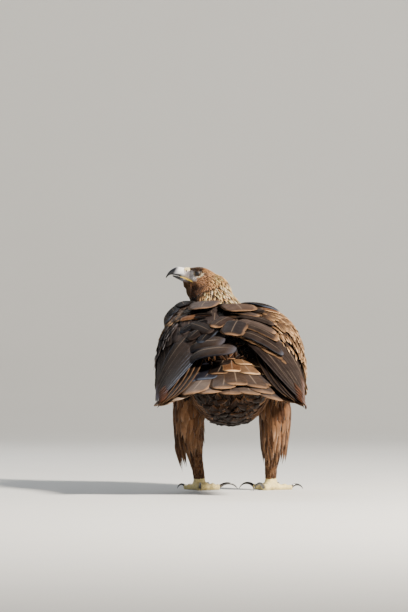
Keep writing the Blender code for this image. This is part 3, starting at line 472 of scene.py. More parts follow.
MATERIALS = {
    "down": plumage("down", 30.0, 0.0, 0.3, 0.9, 0.05, 0.0003),
    "face": plumage("face_feathers", 8.0, 0.1, 0.18, 0.72, 0.15, 0.0001),
    "hackle": plumage("hackles", 14.0, 0.35, 0.16, 0.62, 0.15, 0.0002),
    "body": plumage("body_feathers", 16.0, 0.2, 0.25, 0.75, 0.12, 0.0002),
    "covert": plumage("coverts", 26.0, 0.45, 0.22, 0.6, 0.0, 0.0002),
    "vane": plumage("flight_feathers", 80.0, 0.7, 0.22, 0.52, 0.0, 0.0002),
    "trousers": plumage("trouser_feathers", 10.0, 0.25, 0.22, 0.7, 0.15, 0.0003),
    "horn": toned("bill_horn", 0.36, 0.15, 0.1, 160.0, 0.0001, stretch=(0.5, 1.0, 2.2)),
    "claw": toned("claw_horn", 0.24, 0.6, 0.25, 220.0, 0.0001),
    "wax": toned("waxy_skin", 0.42, 0.25, 0.1, 260.0, 0.0002),
    "scales": toned("foot_scales", 0.5, 0.15, 0.14, 120.0, 0.0005, cells=420.0),
    "lid": toned("lid_skin", 0.5, 0.1, 0.15, 500.0, 0.0002, cells=1400.0),
    "eye": toned("wet_eye", 0.55, 0.0, 0.2, 700.0, 0.00002),
}


# Meshes

def deselect():
    bpy.ops.object.select_all(action="DESELECT")


def select_only(objects):
    deselect()
    for obj in objects:
        obj.select_set(True)
    bpy.context.view_layer.objects.active = objects[0]


def turned_out(obj):
    """Turns every face of a closed piece outward."""
    select_only([obj])
    bpy.ops.object.mode_set(mode="EDIT")
    bpy.ops.mesh.select_all(action="SELECT")
    bpy.ops.mesh.normals_make_consistent(inside=False)
    bpy.ops.object.mode_set(mode="OBJECT")


def grown_together(parts, voxel, rounds):
    """Joins closed parts that run into each other and gives them one surface without a seam."""
    for part in parts:
        turned_out(part)
    select_only(parts)
    bpy.ops.object.join()
    whole = parts[0]
    turned_out(whole)
    voxels = whole.modifiers.new("voxels", "REMESH")
    voxels.mode = "VOXEL"
    voxels.voxel_size = voxel
    relax = whole.modifiers.new("relax", "SMOOTH")
    relax.factor = 0.5
    relax.iterations = rounds
    for modifier in ("voxels", "relax"):
        bpy.ops.object.modifier_apply(modifier=modifier)
    whole.data.polygons.foreach_set("use_smooth", [True] * len(whole.data.polygons))
    return whole


def paint(mesh, tone):
    """Writes a tone at every point of a mesh."""
    full = np.concatenate([np.clip(tone, DARKEST, 1), np.ones((len(tone), 1))], 1)
    layer = mesh.color_attributes.new("tone", "FLOAT_COLOR", "POINT")
    layer.data.foreach_set("color", full.astype(np.float32).ravel())


def mesh_object(name, verts, quads, material, tone=None, bake=None, feather=None):
    """A piece in its place from arrays, with its tone and its maps."""
    verts = np.asarray(verts, np.float32).reshape(-1, 3) + SHIFT.astype(np.float32)
    quads = np.asarray(quads, np.int32)
    mesh = bpy.data.meshes.new(name)
    mesh.vertices.add(len(verts))
    mesh.vertices.foreach_set("co", verts.ravel())
    mesh.loops.add(quads.size)
    mesh.loops.foreach_set("vertex_index", quads.ravel())
    mesh.polygons.add(len(quads))
    mesh.polygons.foreach_set("loop_start", np.arange(0, quads.size, quads.shape[1], dtype=np.int32))
    mesh.update(calc_edges=True)
    mesh.polygons.foreach_set("use_smooth", np.ones(len(quads), bool))
    for label, values in (("feather", feather), ("OFBake", bake)):
        if values is not None:
            layer = mesh.uv_layers.new(name=label)
            values = np.asarray(values, np.float32).reshape(-1, 2)
            layer.data.foreach_set("uv", values[quads.ravel()].ravel())
    if tone is not None:
        paint(mesh, tone)
    mesh.materials.append(MATERIALS[material])
    made = bpy.data.objects.new(name, mesh)
    bpy.context.scene.collection.objects.link(made)
    return made


def take(obj, name, material):
    """Names and finishes a modelled piece."""
    obj.name = name
    obj.data.name = name
    obj.data.materials.clear()
    obj.data.materials.append(MATERIALS[material])
    obj.data.polygons.foreach_set("use_smooth", [True] * len(obj.data.polygons))
    return obj


def paint_piece(obj, color_at):
    """Paints a modelled piece by the place of each point."""
    paint(obj.data, color_at(np.array([v.co for v in obj.data.vertices]) - SHIFT))


def keep(obj, *nodes, slot=None):
    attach(obj, BODY)
    if nodes:
        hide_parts(*nodes)
    return obj


def template(rows, cols):
    """One feather before it is shaped: a grid with a second sheet under it, closed along its border."""
    deselect()
    bpy.ops.mesh.primitive_grid_add(x_subdivisions=cols, y_subdivisions=rows, size=2)
    grid = bpy.context.object
    for vertex in grid.data.vertices:
        inside = abs(vertex.co.x) < 0.99 and abs(vertex.co.y) < 0.99
        vertex.co.z = 1.0 if inside else 0.0
    bpy.ops.object.mode_set(mode="EDIT")
    bpy.ops.mesh.select_all(action="SELECT")
    bpy.ops.mesh.duplicate()
    bpy.ops.transform.resize(value=(1, 1, -1), center_override=(0, 0, 0))
    bpy.ops.mesh.select_all(action="SELECT")
    bpy.ops.mesh.remove_doubles(threshold=1e-4)
    bpy.ops.mesh.normals_make_consistent(inside=False)
    bpy.ops.object.mode_set(mode="OBJECT")
    co = np.array([v.co for v in grid.data.vertices])
    quads = np.array([p.vertices[:] for p in grid.data.polygons])
    bpy.data.objects.remove(grid)
    along = 1 - (1 - (co[:, 1] + 1) / 2) ** TIP_CROWD
    return {"side": co[:, 0], "along": along, "sheet": co[:, 2], "quads": quads}


SMALL = template(5, 2)
MEDIUM = template(8, 4)
LARGE = template(18, 8)


def rounded(root, swell, blunt, power):
    """The outline of a blunt feather: width at its root, where it is full, where it ends and how round."""

    def width(t):
        over = np.clip((t - blunt) / (1 - blunt), 0, 1)
        full = (root + (1 - root) * ease(t, 0, swell)) * (1 - over**power) ** (1 / power)
        return np.maximum(full, 0.05)

    return width


def pointed(root, swell, power):
    """The outline of a pointed feather: width at its root, where it is full and how fast it narrows."""

    def width(t):
        over = np.clip((t - swell) / (1 - swell), 0, 1)
        return np.maximum((root + (1 - root) * ease(t, 0, swell)) * (1 - over**power), 0.06)

    return width


def rows_of(*values):
    """Makes each value a column, so that it meets a feather's own points."""
    return [np.asarray(v, float).reshape(-1, 1) for v in values]


class Cape:
    """The surface over the folded wings. Along is Y and across is the distance from the spine."""

    def __init__(self):
        y, half, top, turn, low, full = columns(CAPE)
        self.rows = np.linspace(y[0], y[-1], 137)
        self.across = np.linspace(0, CAPE_REACH, 145)
        half, top, turn, low, full = (smooth(y, v, self.rows) for v in (half, top, turn, low, full))
        angle = np.linspace(0, math.pi / 2, 240)
        grid = []
        edges = []
        for i, place in enumerate(self.rows):
            x = half[i] * np.sin(angle) ** (2 / full[i])
            z = turn[i] + (top[i] - turn[i]) * np.cos(angle) ** (2 / full[i])
            x = np.append(x, [half[i] + CAPE_FLARE] * 2)
            z = np.append(z, [low[i], low[i] - CAPE_REACH])
            run = np.concatenate([[0], np.cumsum(np.hypot(np.diff(x), np.diff(z)))])
            edges.append(run[-2])
            section = (np.interp(self.across, run, x), 0 * self.across + place,
                       np.interp(self.across, run, z))
            grid.append(np.stack(section, 1))
        self.grid = np.array(grid)
        self.edges = np.array(edges)

    def lower_edge(self, along):
        return np.interp(along, self.rows, self.edges)

    def on(self, along, across):
        i = (along - self.rows[0]) / (self.rows[1] - self.rows[0])
        j = np.abs(across) / (self.across[1] - self.across[0])
        i = np.clip(i, 0, len(self.rows) - 1.001)
        j = np.clip(j, 0, len(self.across) - 1.001)
        i0, j0 = i.astype(int), j.astype(int)
        fi, fj = (i - i0)[..., None], (j - j0)[..., None]
        near = self.grid[i0, j0] * (1 - fj) + self.grid[i0, j0 + 1] * fj
        far = self.grid[i0 + 1, j0] * (1 - fj) + self.grid[i0 + 1, j0 + 1] * fj
        found = near * (1 - fi) + far * fi
        found[..., 0] *= np.where(across < 0, -1.0, 1.0)
        found[..., 1] += np.clip(along - self.rows[-1], 0, None) + np.clip(along - self.rows[0], None, 0)
        return found

    def __call__(self, along, across, height):
        along, across, height = np.broadcast_arrays(along, across, height)
        step = 0.004
        back = self.on(along + step, across) - self.on(along - step, across)
        left = self.on(along, across + step) - self.on(along, across - step)
        inward = unit(np.cross(back, left))
        return self.on(along, across) - inward * height[..., None]


CAPE_SURFACE = Cape()


def shoulder_rise(along, across):
    """How much higher the left shoulder stands than the cape."""
    start, full, last, end = SHOULDER_ACROSS
    swell = np.exp(-(((along - SHOULDER_ALONG[0]) / SHOULDER_ALONG[1]) ** 2))
    return SHOULDER_RISE * swell * ease(across, start, full) * (1 - ease(across, last, end))


def back_surface(along, across, height):
    """The cape with its left shoulder, for what lies across the spine."""
    return CAPE_SURFACE(along, across, height + shoulder_rise(along, across))


def cape_side(side):
    def on(along, across, height):
        rise = shoulder_rise(along, across) if side > 0 else 0.0
        return CAPE_SURFACE(along, across, height + rise) * (side, 1.0, 1.0)

    return on


def seen_place(points):
    """Where on the cape a point seen from behind lies, from its distance to the left and its height."""
    found = []
    rows, spread, grid = CAPE_SURFACE.rows, CAPE_SURFACE.across, CAPE_SURFACE.grid
    for x, z in points:
        spots = []
        for section in grid:
            last = int(np.argmax(section[:, 0] > section[:, 0].max() - CAPE_FLARE - 0.0004)) + 1
            out = section[:last, 0]
            spots.append((np.interp(abs(x), out, spread[:last]), np.interp(abs(x), out, section[:last, 2])))
        across, heights = np.array(spots).T
        first = int(np.argmax(heights))
        along = np.interp(-z, -heights[first:], rows[first:])
        found.append((along, math.copysign(np.interp(along, rows, across), x)))
    return np.array(found)


def tail_surface(along, across, height):
    """The spread tail. Along is the distance back from its root and across the distance to the left."""
    along, across, height = np.broadcast_arrays(along, across, height)
    slope = math.radians(TAIL_DROOP)
    y = TAIL_ROOT[0] + along * math.cos(slope) + height * math.sin(slope)
    z = TAIL_ROOT[1] - along * math.sin(slope) + height * math.cos(slope) - TAIL_ARCH * across**2
    return np.stack([across, y, z], -1)


def leg_columns(table, side):
    left, right, y, z, half, deep = columns(table)
    return left if side > 0 else -right, y, z, half, deep


def trouser_surface(side):
    """Round the trousers. Along is the height and across is measured outwards from the back's middle."""
    x, y, z, half, deep = leg_columns(TROUSERS, side)

    def on(along, across, height):
        along, across, height = np.broadcast_arrays(along, across, height)
        angle = across / LOCK_SPREAD * side
        wide = smooth(z, half, along) + height
        thick = smooth(z, deep, along) + height
        out = smooth(z, x, along) + np.sin(angle) * wide
        back = smooth(z, y, along) + np.cos(angle) * thick
        return np.stack([out, back, along], -1)

    return on


class Coat:
    """Feathers gathered into one piece."""

    def __init__(self):
        self.verts, self.quads, self.tones, self.webs, self.bakes = [], [], [], [], []
        self.count = 0

    def add(self, verts, form, rng, base, edge, edge_share=0.5, bake_root=None, **tones):
        """Adds feathers of one form with their tones. bake_root is each one's place on the flat map."""
        number, points = verts.shape[:2]
        tone = shade_of(form, rng, number, base, edge, edge_share, **tones)
        start = self.count + np.arange(number)[:, None, None] * points
        self.quads.append((form["quads"][None] + start).reshape(-1, 4))
        self.count += number * points
        self.verts.append(verts.reshape(-1, 3))
        self.tones.append(np.broadcast_to(tone, verts.shape).reshape(-1, 3))
        web = np.stack([form["side"] / 2 + 0.5, form["along"]], -1)
        self.webs.append(np.broadcast_to(web, (number, points, 2)).reshape(-1, 2))
        if bake_root is None:
            self.bakes.append((number, web))
        else:
            patch = (web - 0.5) * MAP_PATCH
            self.bakes.append((np.clip(bake_root, 0.002, 0.998)[:, None] + patch).reshape(-1, 2))

    def finish(self, name, material):
        islands = sum(bake[0] for bake in self.bakes if isinstance(bake, tuple))
        wide = max(1, math.ceil(math.sqrt(islands * 4)))
        tall = max(1, math.ceil(islands / wide))
        placed = 0
        maps = []
        for bake in self.bakes:
            if isinstance(bake, tuple):
                number, web = bake
                cell = placed + np.arange(number)
                corner = np.stack([cell % wide, cell // wide], -1)[:, None]
                size = (1 / wide, 1 / tall)
                maps.append(((corner + MAP_GAP + web * MAP_FILL) * size).reshape(-1, 2))
                placed += number
            else:
                maps.append(bake)
        return mesh_object(name, np.concatenate(self.verts), np.concatenate(self.quads), material,
                           np.concatenate(self.tones), np.concatenate(maps), np.concatenate(self.webs))


def lay(surface, form, roots, tips, half, height, outline, sink=0.0, sunk=0.15, tilt=0.0, lift=0.0,
        camber=0.0, bow=0.0, skew=0.0, thick=0.0005, ragged=0.0, rng=None, via=None):
    """Lays feathers over a surface from their roots to their tips.

    sink is how much deeper a root lies, tilt raises the side with the larger across, lift raises the tip,
    camber arches the web, bow bends the shaft sideways and skew widens the inner web.
    A shaft with a via point bends towards it.
    """
    roots, tips = np.atleast_2d(roots), np.atleast_2d(tips)
    half, height, sink, tilt, lift, bow, skew = rows_of(half, height, sink, tilt, lift, bow, skew)
    t, s = form["along"], form["side"]
    via = (roots + tips) / 2 if via is None else np.atleast_2d(via)
    first, middle, last = roots[:, None], via[:, None], tips[:, None]
    reach = t[None, :, None]
    shaft = first * (1 - reach) ** 2 + middle * 2 * reach * (1 - reach) + last * reach**2
    way = unit((middle - first) * (1 - reach) + (last - middle) * reach)
    turn = np.where((tips - roots)[:, :1] < 0, -1.0, 1.0)
    width = half * outline(t) * np.where(s * turn > 0, 1 - skew, 1 + skew)
    if ragged:
        wave = rng.uniform(0, 2 * math.pi, (len(roots), 2))
        pace = rng.uniform(14, 40, (len(roots), 2))
        edge = np.sin(pace[:, :1] * t + wave[:, :1]) + np.sin(pace[:, 1:] * t * 1.7 + wave[:, 1:] + s)
        width = width * (1 + ragged * edge)
    side = s * width + bow * np.sin(np.pi * t) * half
    along = shaft[..., 0] - way[..., 1] * side
    across = shaft[..., 1] + way[..., 0] * side
    rise = height - sink * (1 - np.clip(t / sunk, 0, 1)) + tilt * side * turn + lift * t**2
    rise = rise + camber * half * outline(t) * (1 - s**2) + form["sheet"] * thick / 2
    return surface(along, across, rise)


def shade_of(form, rng, number, base, edge, edge_share=0.5, tip=None, tip_share=0.0, spread=0.12, rim=0.75,
             tip_from=0.82, core=0.0):
    """A tone for every point of the feathers: a base, a rim along the web's edge and a tip."""
    t, s = form["along"], form["side"]
    base = np.broadcast_to(np.asarray(base, float), (number, 3))[:, None]
    edge = np.broadcast_to(np.asarray(edge, float), (number, 3))[:, None]
    tip = edge if tip is None else np.broadcast_to(np.asarray(tip, float), (number, 3))[:, None]
    edge_share, tip_share, core = rows_of(edge_share, tip_share, core)
    vary = 1 + spread * rng.standard_normal((number, 1, 1)).clip(-2, 2)
    border = np.maximum(ease(np.abs(s), rim, 1.0), ease(t, 0.9, 1.0)) * ease(t, 0.15, 0.5)
    tone = base * vary
    tone = tone * (1 - (core * (1 - ease(np.abs(s), 0.0, 0.55)) * ease(t, 0.1, 0.4))[..., None])
    tone = mix(tone, tip * vary, (tip_share * ease(t, tip_from, 1.0))[..., None])
    return mix(tone, edge * vary, (edge_share * border)[..., None])


def between(table, count):
    """Rows read evenly along a table of named places."""
    table = np.array(table, float)
    at = np.linspace(0, len(table) - 1, count)
    return np.stack([smooth(np.arange(len(table)), column, at) for column in table.T], 1)


# The skin under the feathers

def section_ring(centre, side_axis, up_axis, half, up, down, fullness, count):
    angle = np.linspace(0, 2 * math.pi, count, endpoint=False)
    power = 2.0 / fullness
    s, c = np.sin(angle), np.cos(angle)
    side = half * np.sign(s) * np.abs(s) ** power
    rise = np.where(c > 0, up, down) * np.sign(c) * np.abs(c) ** power
    return np.asarray(centre) + side[:, None] * side_axis + rise[:, None] * up_axis


def tube(rings):
    """A closed solid through a row of rings, as points and four-sided faces with fanned ends."""
    rings = np.array(rings, float)
    rows, count = rings.shape[:2]
    caps = [rings[0].mean(0)[None], rings[-1].mean(0)[None]]
    verts = np.concatenate([rings.reshape(-1, 3), *caps])
    near = np.arange(count)
    far = (near + 1) % count
    quads = []
    for row in range(rows - 1):
        a, b = row * count, (row + 1) * count
        quads.append(np.stack([a + near, a + far, b + far, b + near], 1))
    for corner, row in ((rows * count, 0), (rows * count + 1, rows - 1)):
        a = row * count
        pairs = near[::2]
        fan = np.stack([np.full(len(pairs), corner), a + pairs, a + (pairs + 1) % count,
                        a + (pairs + 2) % count], 1)
        quads.append(fan if row else fan[:, ::-1])
    return verts, np.concatenate(quads)


def upright_rings(axis, side_axis, at, tops, bottoms, halves, fullness, count, grow):
    rings = []
    for i, (place, top, bottom, half) in enumerate(zip(at, tops, bottoms, halves)):
        beyond = math.copysign(grow, at[i] - at[len(at) // 2]) if i in (0, len(at) - 1) else 0.0
        middle = 0.55 * top + 0.45 * bottom
        centre = axis * (place + beyond) + Z_AXIS * middle
        sizes = [max(v + grow, 0.001) for v in (half, top - middle, middle - bottom)]
        rings.append(section_ring(centre, side_axis, Z_AXIS, *sizes, fullness, count))
    return rings


def table_rings(table, axis, side_axis, fullness, grow, count=40, along=30):
    place, top, bottom, half = columns(table)
    turn = np.linspace(0, math.pi, along)
    at = place[0] + (place[-1] - place[0]) * (1 - np.cos(turn)) / 2
    tops, bottoms, halves = (smooth(place, v, at) for v in (top, bottom, half))
    return upright_rings(axis, side_axis, at, tops, bottoms, halves, fullness, count, grow)


def neck_frame(share):
    place = np.linspace(0, 1, len(NECK))
    path = columns(NECK)
    centre = np.stack([smooth(place, v, share) for v in path[:3]], -1)
    ahead = np.stack([smooth(place, v, np.asarray(share) + 0.02) for v in path[:3]], -1)
    behind = np.stack([smooth(place, v, np.asarray(share) - 0.02) for v in path[:3]], -1)
    way = unit(ahead - behind)
    left = unit(X_AXIS - way * way[..., :1])
    back = np.cross(way, left)
    return centre, left, back, smooth(place, path[3], share), smooth(place, path[4], share)


def neck_rings(grow, count=36, along=14):
    rings = []
    for share in np.linspace(0, 1, along):
        centre, left, back, half, deep = neck_frame(share)
        rings.append(section_ring(centre, left, back, half + grow, deep + grow, deep + grow, 2.1, count))
    return rings


def mouth_height(ahead):
    x, z = columns(MOUTH)
    return smooth(x, z, ahead)


def jaw_rings(grow, count=28):
    ahead, bottom, half = columns(JAW)
    at = np.linspace(ahead[0], ahead[-1], 9)
    tops = mouth_height(at) - MOUTH_GAP
    bottoms, halves = (smooth(ahead, v, at) for v in (bottom, half))
    rings = upright_rings(X_AXIS, Y_AXIS, at, tops, bottoms, halves, 2.4, count, grow)
    return [ring + EYE_LINE for ring in rings]


def leg_rings(side, grow, count=28, along=30):
    x, y, z, half, deep = leg_columns(THIGH, side)
    rings = []
    for height in np.linspace(z[0], z[-1], along):
        centre = np.array([smooth(z, x, height), smooth(z, y, height), height])
        inset = grow * mix(0.35, 1.0, ease(height, 0.06, 0.12))
        sizes = (smooth(z, half, height) + inset, *[smooth(z, deep, height) + inset] * 2)
        rings.append(section_ring(centre, X_AXIS, Y_AXIS, *sizes, 2.0, count))
    return rings


def facing(side):
    turn = math.radians(EYE_TURN)
    return np.array([math.sin(turn), side * math.cos(turn), 0.0])


def ball_rings(centre, sizes, turn=0.0, count=24, along=14):
    c, s = math.cos(turn), math.sin(turn)
    rings = []
    for pitch in np.linspace(0.06, math.pi - 0.06, along):
        angle = np.linspace(0, 2 * math.pi, count, endpoint=False)
        x = sizes[0] * math.sin(pitch) * np.cos(angle)
        y = sizes[1] * math.sin(pitch) * np.sin(angle)
        z = np.full(count, sizes[2] * math.cos(pitch))
        rings.append(np.stack([c * x - s * y, s * x + c * y, z], 1) + centre)
    return rings


def build_skin():
    """One skin from the face to the ankles, inside the solids by the depth of the coat."""
    head = [ring + EYE_LINE for ring in table_rings(HEAD, X_AXIS, Y_AXIS, 2.2, -HEAD_COAT, 40, 26)]
    parts = [table_rings(TORSO, Y_AXIS, X_AXIS, 2.25, -BODY_COAT), neck_rings(-NECK_COAT), head,
             jaw_rings(-JAW_COAT)]
    parts.append(ball_rings(EYE_LINE + THROAT_MIDDLE, [v - THROAT_COAT for v in THROAT_SIZE]))
    for middle, size in SOFT_THROAT:
        parts.append(ball_rings(EYE_LINE + middle, size))
    for side in (1, -1):
        parts.append(leg_rings(side, -LEG_COAT))
        brow = EYE_LINE + (BROW_MIDDLE[0], BROW_MIDDLE[1] * side, BROW_MIDDLE[2])
        parts.append(ball_rings(brow, [v - BROW_COAT for v in BROW_SIZE], math.radians(-side * EYE_TURN)))
    made = [mesh_object("skin_part", *tube(rings), "down") for rings in parts]
    whole = grown_together(made, SKIN_VOXEL, 6)
    whole.name = "skin"
    return whole


def near_leg(points):
    """1 on the legs and 0 on the body."""
    x, y, z = points.T
    below = ease(0.245 - z, 0, 0.035) * ease(np.abs(x), 0.035, 0.06)
    return below * ease(0.085 - np.abs(y - 0.005), 0, 0.03)


class Hide:
    """The skin as a place to set feathers: it finds the nearest skin and the lie of the coat there."""

    def __init__(self, skin):
        mesh = skin.data
        count = len(mesh.vertices)
        self.co = np.zeros(count * 3)
        mesh.vertices.foreach_get("co", self.co)
        self.co = self.co.reshape(-1, 3) - SHIFT
        mesh.calc_loop_triangles()
        self.tris = np.zeros(len(mesh.loop_triangles) * 3, int)
        mesh.loop_triangles.foreach_get("vertices", self.tris)
        self.tris = self.tris.reshape(-1, 3)
        corners = self.co[self.tris]
        cross = np.cross(corners[:, 1] - corners[:, 0], corners[:, 2] - corners[:, 0])
        self.area = np.linalg.norm(cross, axis=1) / 2
        normals = np.zeros((count, 3))
        for k in range(3):
            np.add.at(normals, self.tris[:, k], cross)
        edges = np.concatenate([self.tris[:, [0, 1]], self.tris[:, [1, 2]], self.tris[:, [2, 0]]])
        degree = np.bincount(edges.ravel(), minlength=count)[:, None]

        def spread(values, rounds):
            for _ in range(rounds):
                total = np.zeros_like(values)
                for k in range(3):
                    total[:, k] = np.bincount(edges[:, 0], values[edges[:, 1], k], count)
                    total[:, k] += np.bincount(edges[:, 1], values[edges[:, 0], k], count)
                values = 0.3 * values + 0.7 * total / degree
            return values

        normals = unit(spread(unit(normals), 6))
        ways = spread(self.lie(self.co), 24)
        ways = ways - normals * (ways * normals).sum(1, keepdims=True)
        self.centres = corners.mean(1)
        self.normals = unit(normals[self.tris].mean(1))
        self.ways = unit(ways[self.tris].mean(1))
        self.tree = BVHTree.FromPolygons(self.co.tolist(), self.tris.tolist())

    def lie(self, points):
        """The way the coat lies: back over the head, down the neck and breast, back along the belly."""
        x, y, z = points.T
        ahead = x - EYE_LINE[0]
        head = np.stack([0 * x - 1, 0 * x + 0.1, -0.12 - 0.9 * ease(-ahead, 0.0, 0.05)], 1)
        front = ease(-y, 0.12, 0.2)
        torso = np.stack([0 * x, 1 - 0.75 * front, -0.1 - 1.1 * front], 1)
        leg = mix((0.0, 0.18, -1.0), (0.0, 0.0, -1.0), ease(-z, -0.11, -0.08)[:, None])
        way = mix(torso, (-0.35, 0.35, -1.0), ease(z - 0.35 * y, 0.42, 0.47)[:, None])
        way = mix(way, head, ease(z + 0.5 * ahead, 0.436, 0.462)[:, None])
        return unit(mix(way, leg, near_leg(points)[:, None]))

    def scatter(self, spacing, where, rng):
        """Places spread evenly over the skin, apart by the spacing given for each place."""
        weight = self.area * where(self.centres) / spacing(self.centres) ** 2
        number = int(weight.sum() * SCATTER_TRIES)
        chosen = rng.choice(len(weight), number, p=weight / weight.sum())
        u, v = rng.random((2, number, 1))
        flip = (u + v) > 1
        u, v = np.where(flip, 1 - u, u), np.where(flip, 1 - v, v)
        a, b, c = (self.co[self.tris[chosen, k]] for k in range(3))
        points = a + (b - a) * u + (c - a) * v
        gaps = spacing(points)
        cells = np.floor(points / gaps.max()).astype(int).tolist()
        near = [(i, j, k) for i in (-1, 0, 1) for j in (-1, 0, 1) for k in (-1, 0, 1)]
        taken = {}
        kept = []
        tried = zip(cells, points.tolist(), (gaps * gaps).tolist())
        for place, ((p, q, r), (x, y, z), gap) in enumerate(tried):
            around = (spot for i, j, k in near for spot in taken.get((p + i, q + j, r + k), ()))
            if all((qx - x) ** 2 + (qy - y) ** 2 + (qz - z) ** 2 >= gap for qx, qy, qz in around):
                taken.setdefault((p, q, r), []).append((x, y, z))
                kept.append(place)
        return points[kept]

    def follow(self, points, lengths, steps):
        """Walks from each root along the lie of the coat: places, ways out and ways across at each step."""
        places = np.zeros((len(points), steps, 3))
        outs = np.zeros_like(places)
        ways = np.zeros_like(places)
        at = points.copy()
        for k in range(steps):
            found = [self.tree.find_nearest(p)[::2] for p in at.tolist()]
            index = np.array([f[1] for f in found])
            at = np.array([f[0] for f in found])
            places[:, k] = at
            outs[:, k] = self.normals[index]
            ways[:, k] = self.ways[index]
            at = at + ways[:, k] * (lengths / (steps - 1))[:, None]
        return places, outs, ways

    def grow(self, form, points, length, half, outline, rise, rng, camber=0.15, thick=0.0004, splay=0.1,
             loose=0.3, base=0.0006):
        """Feathers on the skin from their roots, along its lie.

        rise is how far a tip stands off, loose how much that varies and splay how much the feathers turn.
        """
        number = len(points)
        length, half, rise = (np.broadcast_to(v, number).astype(float) for v in (length, half, rise))
        length = length * rng.uniform(0.85, 1.15, number)
        steps = 6
        paths = self.follow(points, length, steps)
        turn = rng.normal(0, splay, (number, 1))
        t, s = form["along"], form["side"]
        near = np.clip((t * (steps - 1)).astype(int), 0, steps - 2)
        part = (t * (steps - 1) - near)[None, :, None]
        place, out, way = (mix(path[:, near], path[:, near + 1], part) for path in paths)
        out, way = unit(out), unit(way)
        across = unit(np.cross(out, way))
        length, half, rise = rows_of(length, half, rise)
        lift = rise * rng.uniform(1 - loose, 1 + loose, (number, 1))
        side = s * half * outline(t) * rng.uniform(0.9, 1.1, (number, 1)) + turn * t * length
        up = base + lift * t**1.3 + camber * half * outline(t) * (1 - s**2) + form["sheet"] * thick / 2
        # One more draw for each feather: the tones that follow count on it.
        rng.random(number)
        return place + across * side[..., None] + out * up[..., None]


skin = build_skin()
hide = Hide(skin)


def skin_tone(points):
    """Dark down, with bare pale skin only before the eyes."""
    ahead, high, _ = from_eye(points)
    lore = ease(ahead, 0.004, 0.01) * ease(high, -0.022, -0.012) * ease(-high, -0.01, -0.006)
    tone = mix((0.03, 0.019, 0.013), LORE, lore[:, None])
    gold = ease(points[:, 2], 0.4, 0.45) * 0.7
    tone = mix(tone, (0.075, 0.042, 0.022), (gold * (1 - lore))[:, None])
    return mix(tone, LEG * 0.6, near_leg(points)[:, None])


def from_eye(points):
    """Place ahead of the eye line, height over it and distance from the nearer eye."""
    d = points - EYE_LINE
    side = np.abs(d[:, 1]) - EYE_SIDE
    return d[:, 0], d[:, 2], np.sqrt(d[:, 0] ** 2 + side**2 + d[:, 2] ** 2)


paint(skin.data, skin_tone(hide.co))
keep(skin, "torso", "neck", "head", "thigh_left", "thigh_right", "tarsus_left", "tarsus_right",
     slot="torso")


# The small feathers of the head, neck, body and legs

def on_head(points):
    ahead = points[:, 0] - EYE_LINE[0]
    return ease(points[:, 2] + 0.5 * ahead, 0.436, 0.444)


def flat_map(points, middle, axis_from, axis_to):
    """A place on an unwrap round an axis, for each root."""
    axis = unit(np.subtract(axis_to, axis_from))
    length = np.linalg.norm(np.subtract(axis_to, axis_from))
    d = points - np.array(middle)
    along = (points - np.array(axis_from)) @ axis / length
    first = unit(np.cross(axis, (0.31, 0.2, 0.93)))
    second = np.cross(axis, first)
    angle = np.arctan2(d @ second, d @ first) / (2 * math.pi) + 0.5
    return np.stack([0.02 + 0.96 * angle, 0.03 + 0.94 * np.clip(along, 0, 1)], 1)


def face_tone(points):
    """Golden over the crown and nape, darker on the cheeks and throat, grey before the eyes."""
    ahead, high, away = from_eye(points)
    tone = np.tile(FACE, (len(points), 1))
    crown = ease(high, -0.006, 0.006) * ease(-ahead, -0.01, 0.01)
    tone = mix(tone, (0.27, 0.135, 0.056), crown[:, None])
    nape = ease(-ahead, 0.012, 0.038) * ease(high - 0.3 * ahead, -0.04, -0.01)
    tone = mix(tone, (0.52, 0.29, 0.12), nape[:, None])
    throat = ease(-high, 0.018, 0.034) * ease(ahead, -0.022, -0.002)
    tone = mix(tone, (0.085, 0.042, 0.024), throat[:, None])
    # Dark brow feathers, darkened further as painted shadow under the brow ridge.
    brow = ease(high, 0.003, 0.007) * ease(ahead, -0.012, -0.004)
    tone = mix(tone, (0.022, 0.012, 0.008), brow[:, None] * 0.92)
    behind = ease(-ahead, 0.006, 0.012) * ease(0.02 + ahead, 0.0, 0.008)
    behind = behind * ease(0.005 - np.abs(high + 0.001), 0, 0.004)
    tone = mix(tone, (0.07, 0.04, 0.025), behind[:, None] * 0.8)
    ring = ease(0.0135 - away, 0.0, 0.002) * ease(-high, -0.003, 0.003)
    tone = mix(tone, (0.75, 0.56, 0.38), ring[:, None] * 0.9)
    lore = ease(ahead, 0.004, 0.01) * ease(0.008 - high, 0.0, 0.004) * ease(high, -0.02, -0.012)
    return mix(tone, LORE, lore[:, None])


def neck_gold(points):
    """1 on the nape's gold, 0 on the throat and the breast."""
    x, y, z = points.T
    side = ease(0.084 - x - 0.35 * (0.47 - z), 0.0, 0.018)
    front = ease(y, -0.236, -0.206)
    return side * mix(0.35, 1.0, front) * ease(z, 0.362, 0.405)


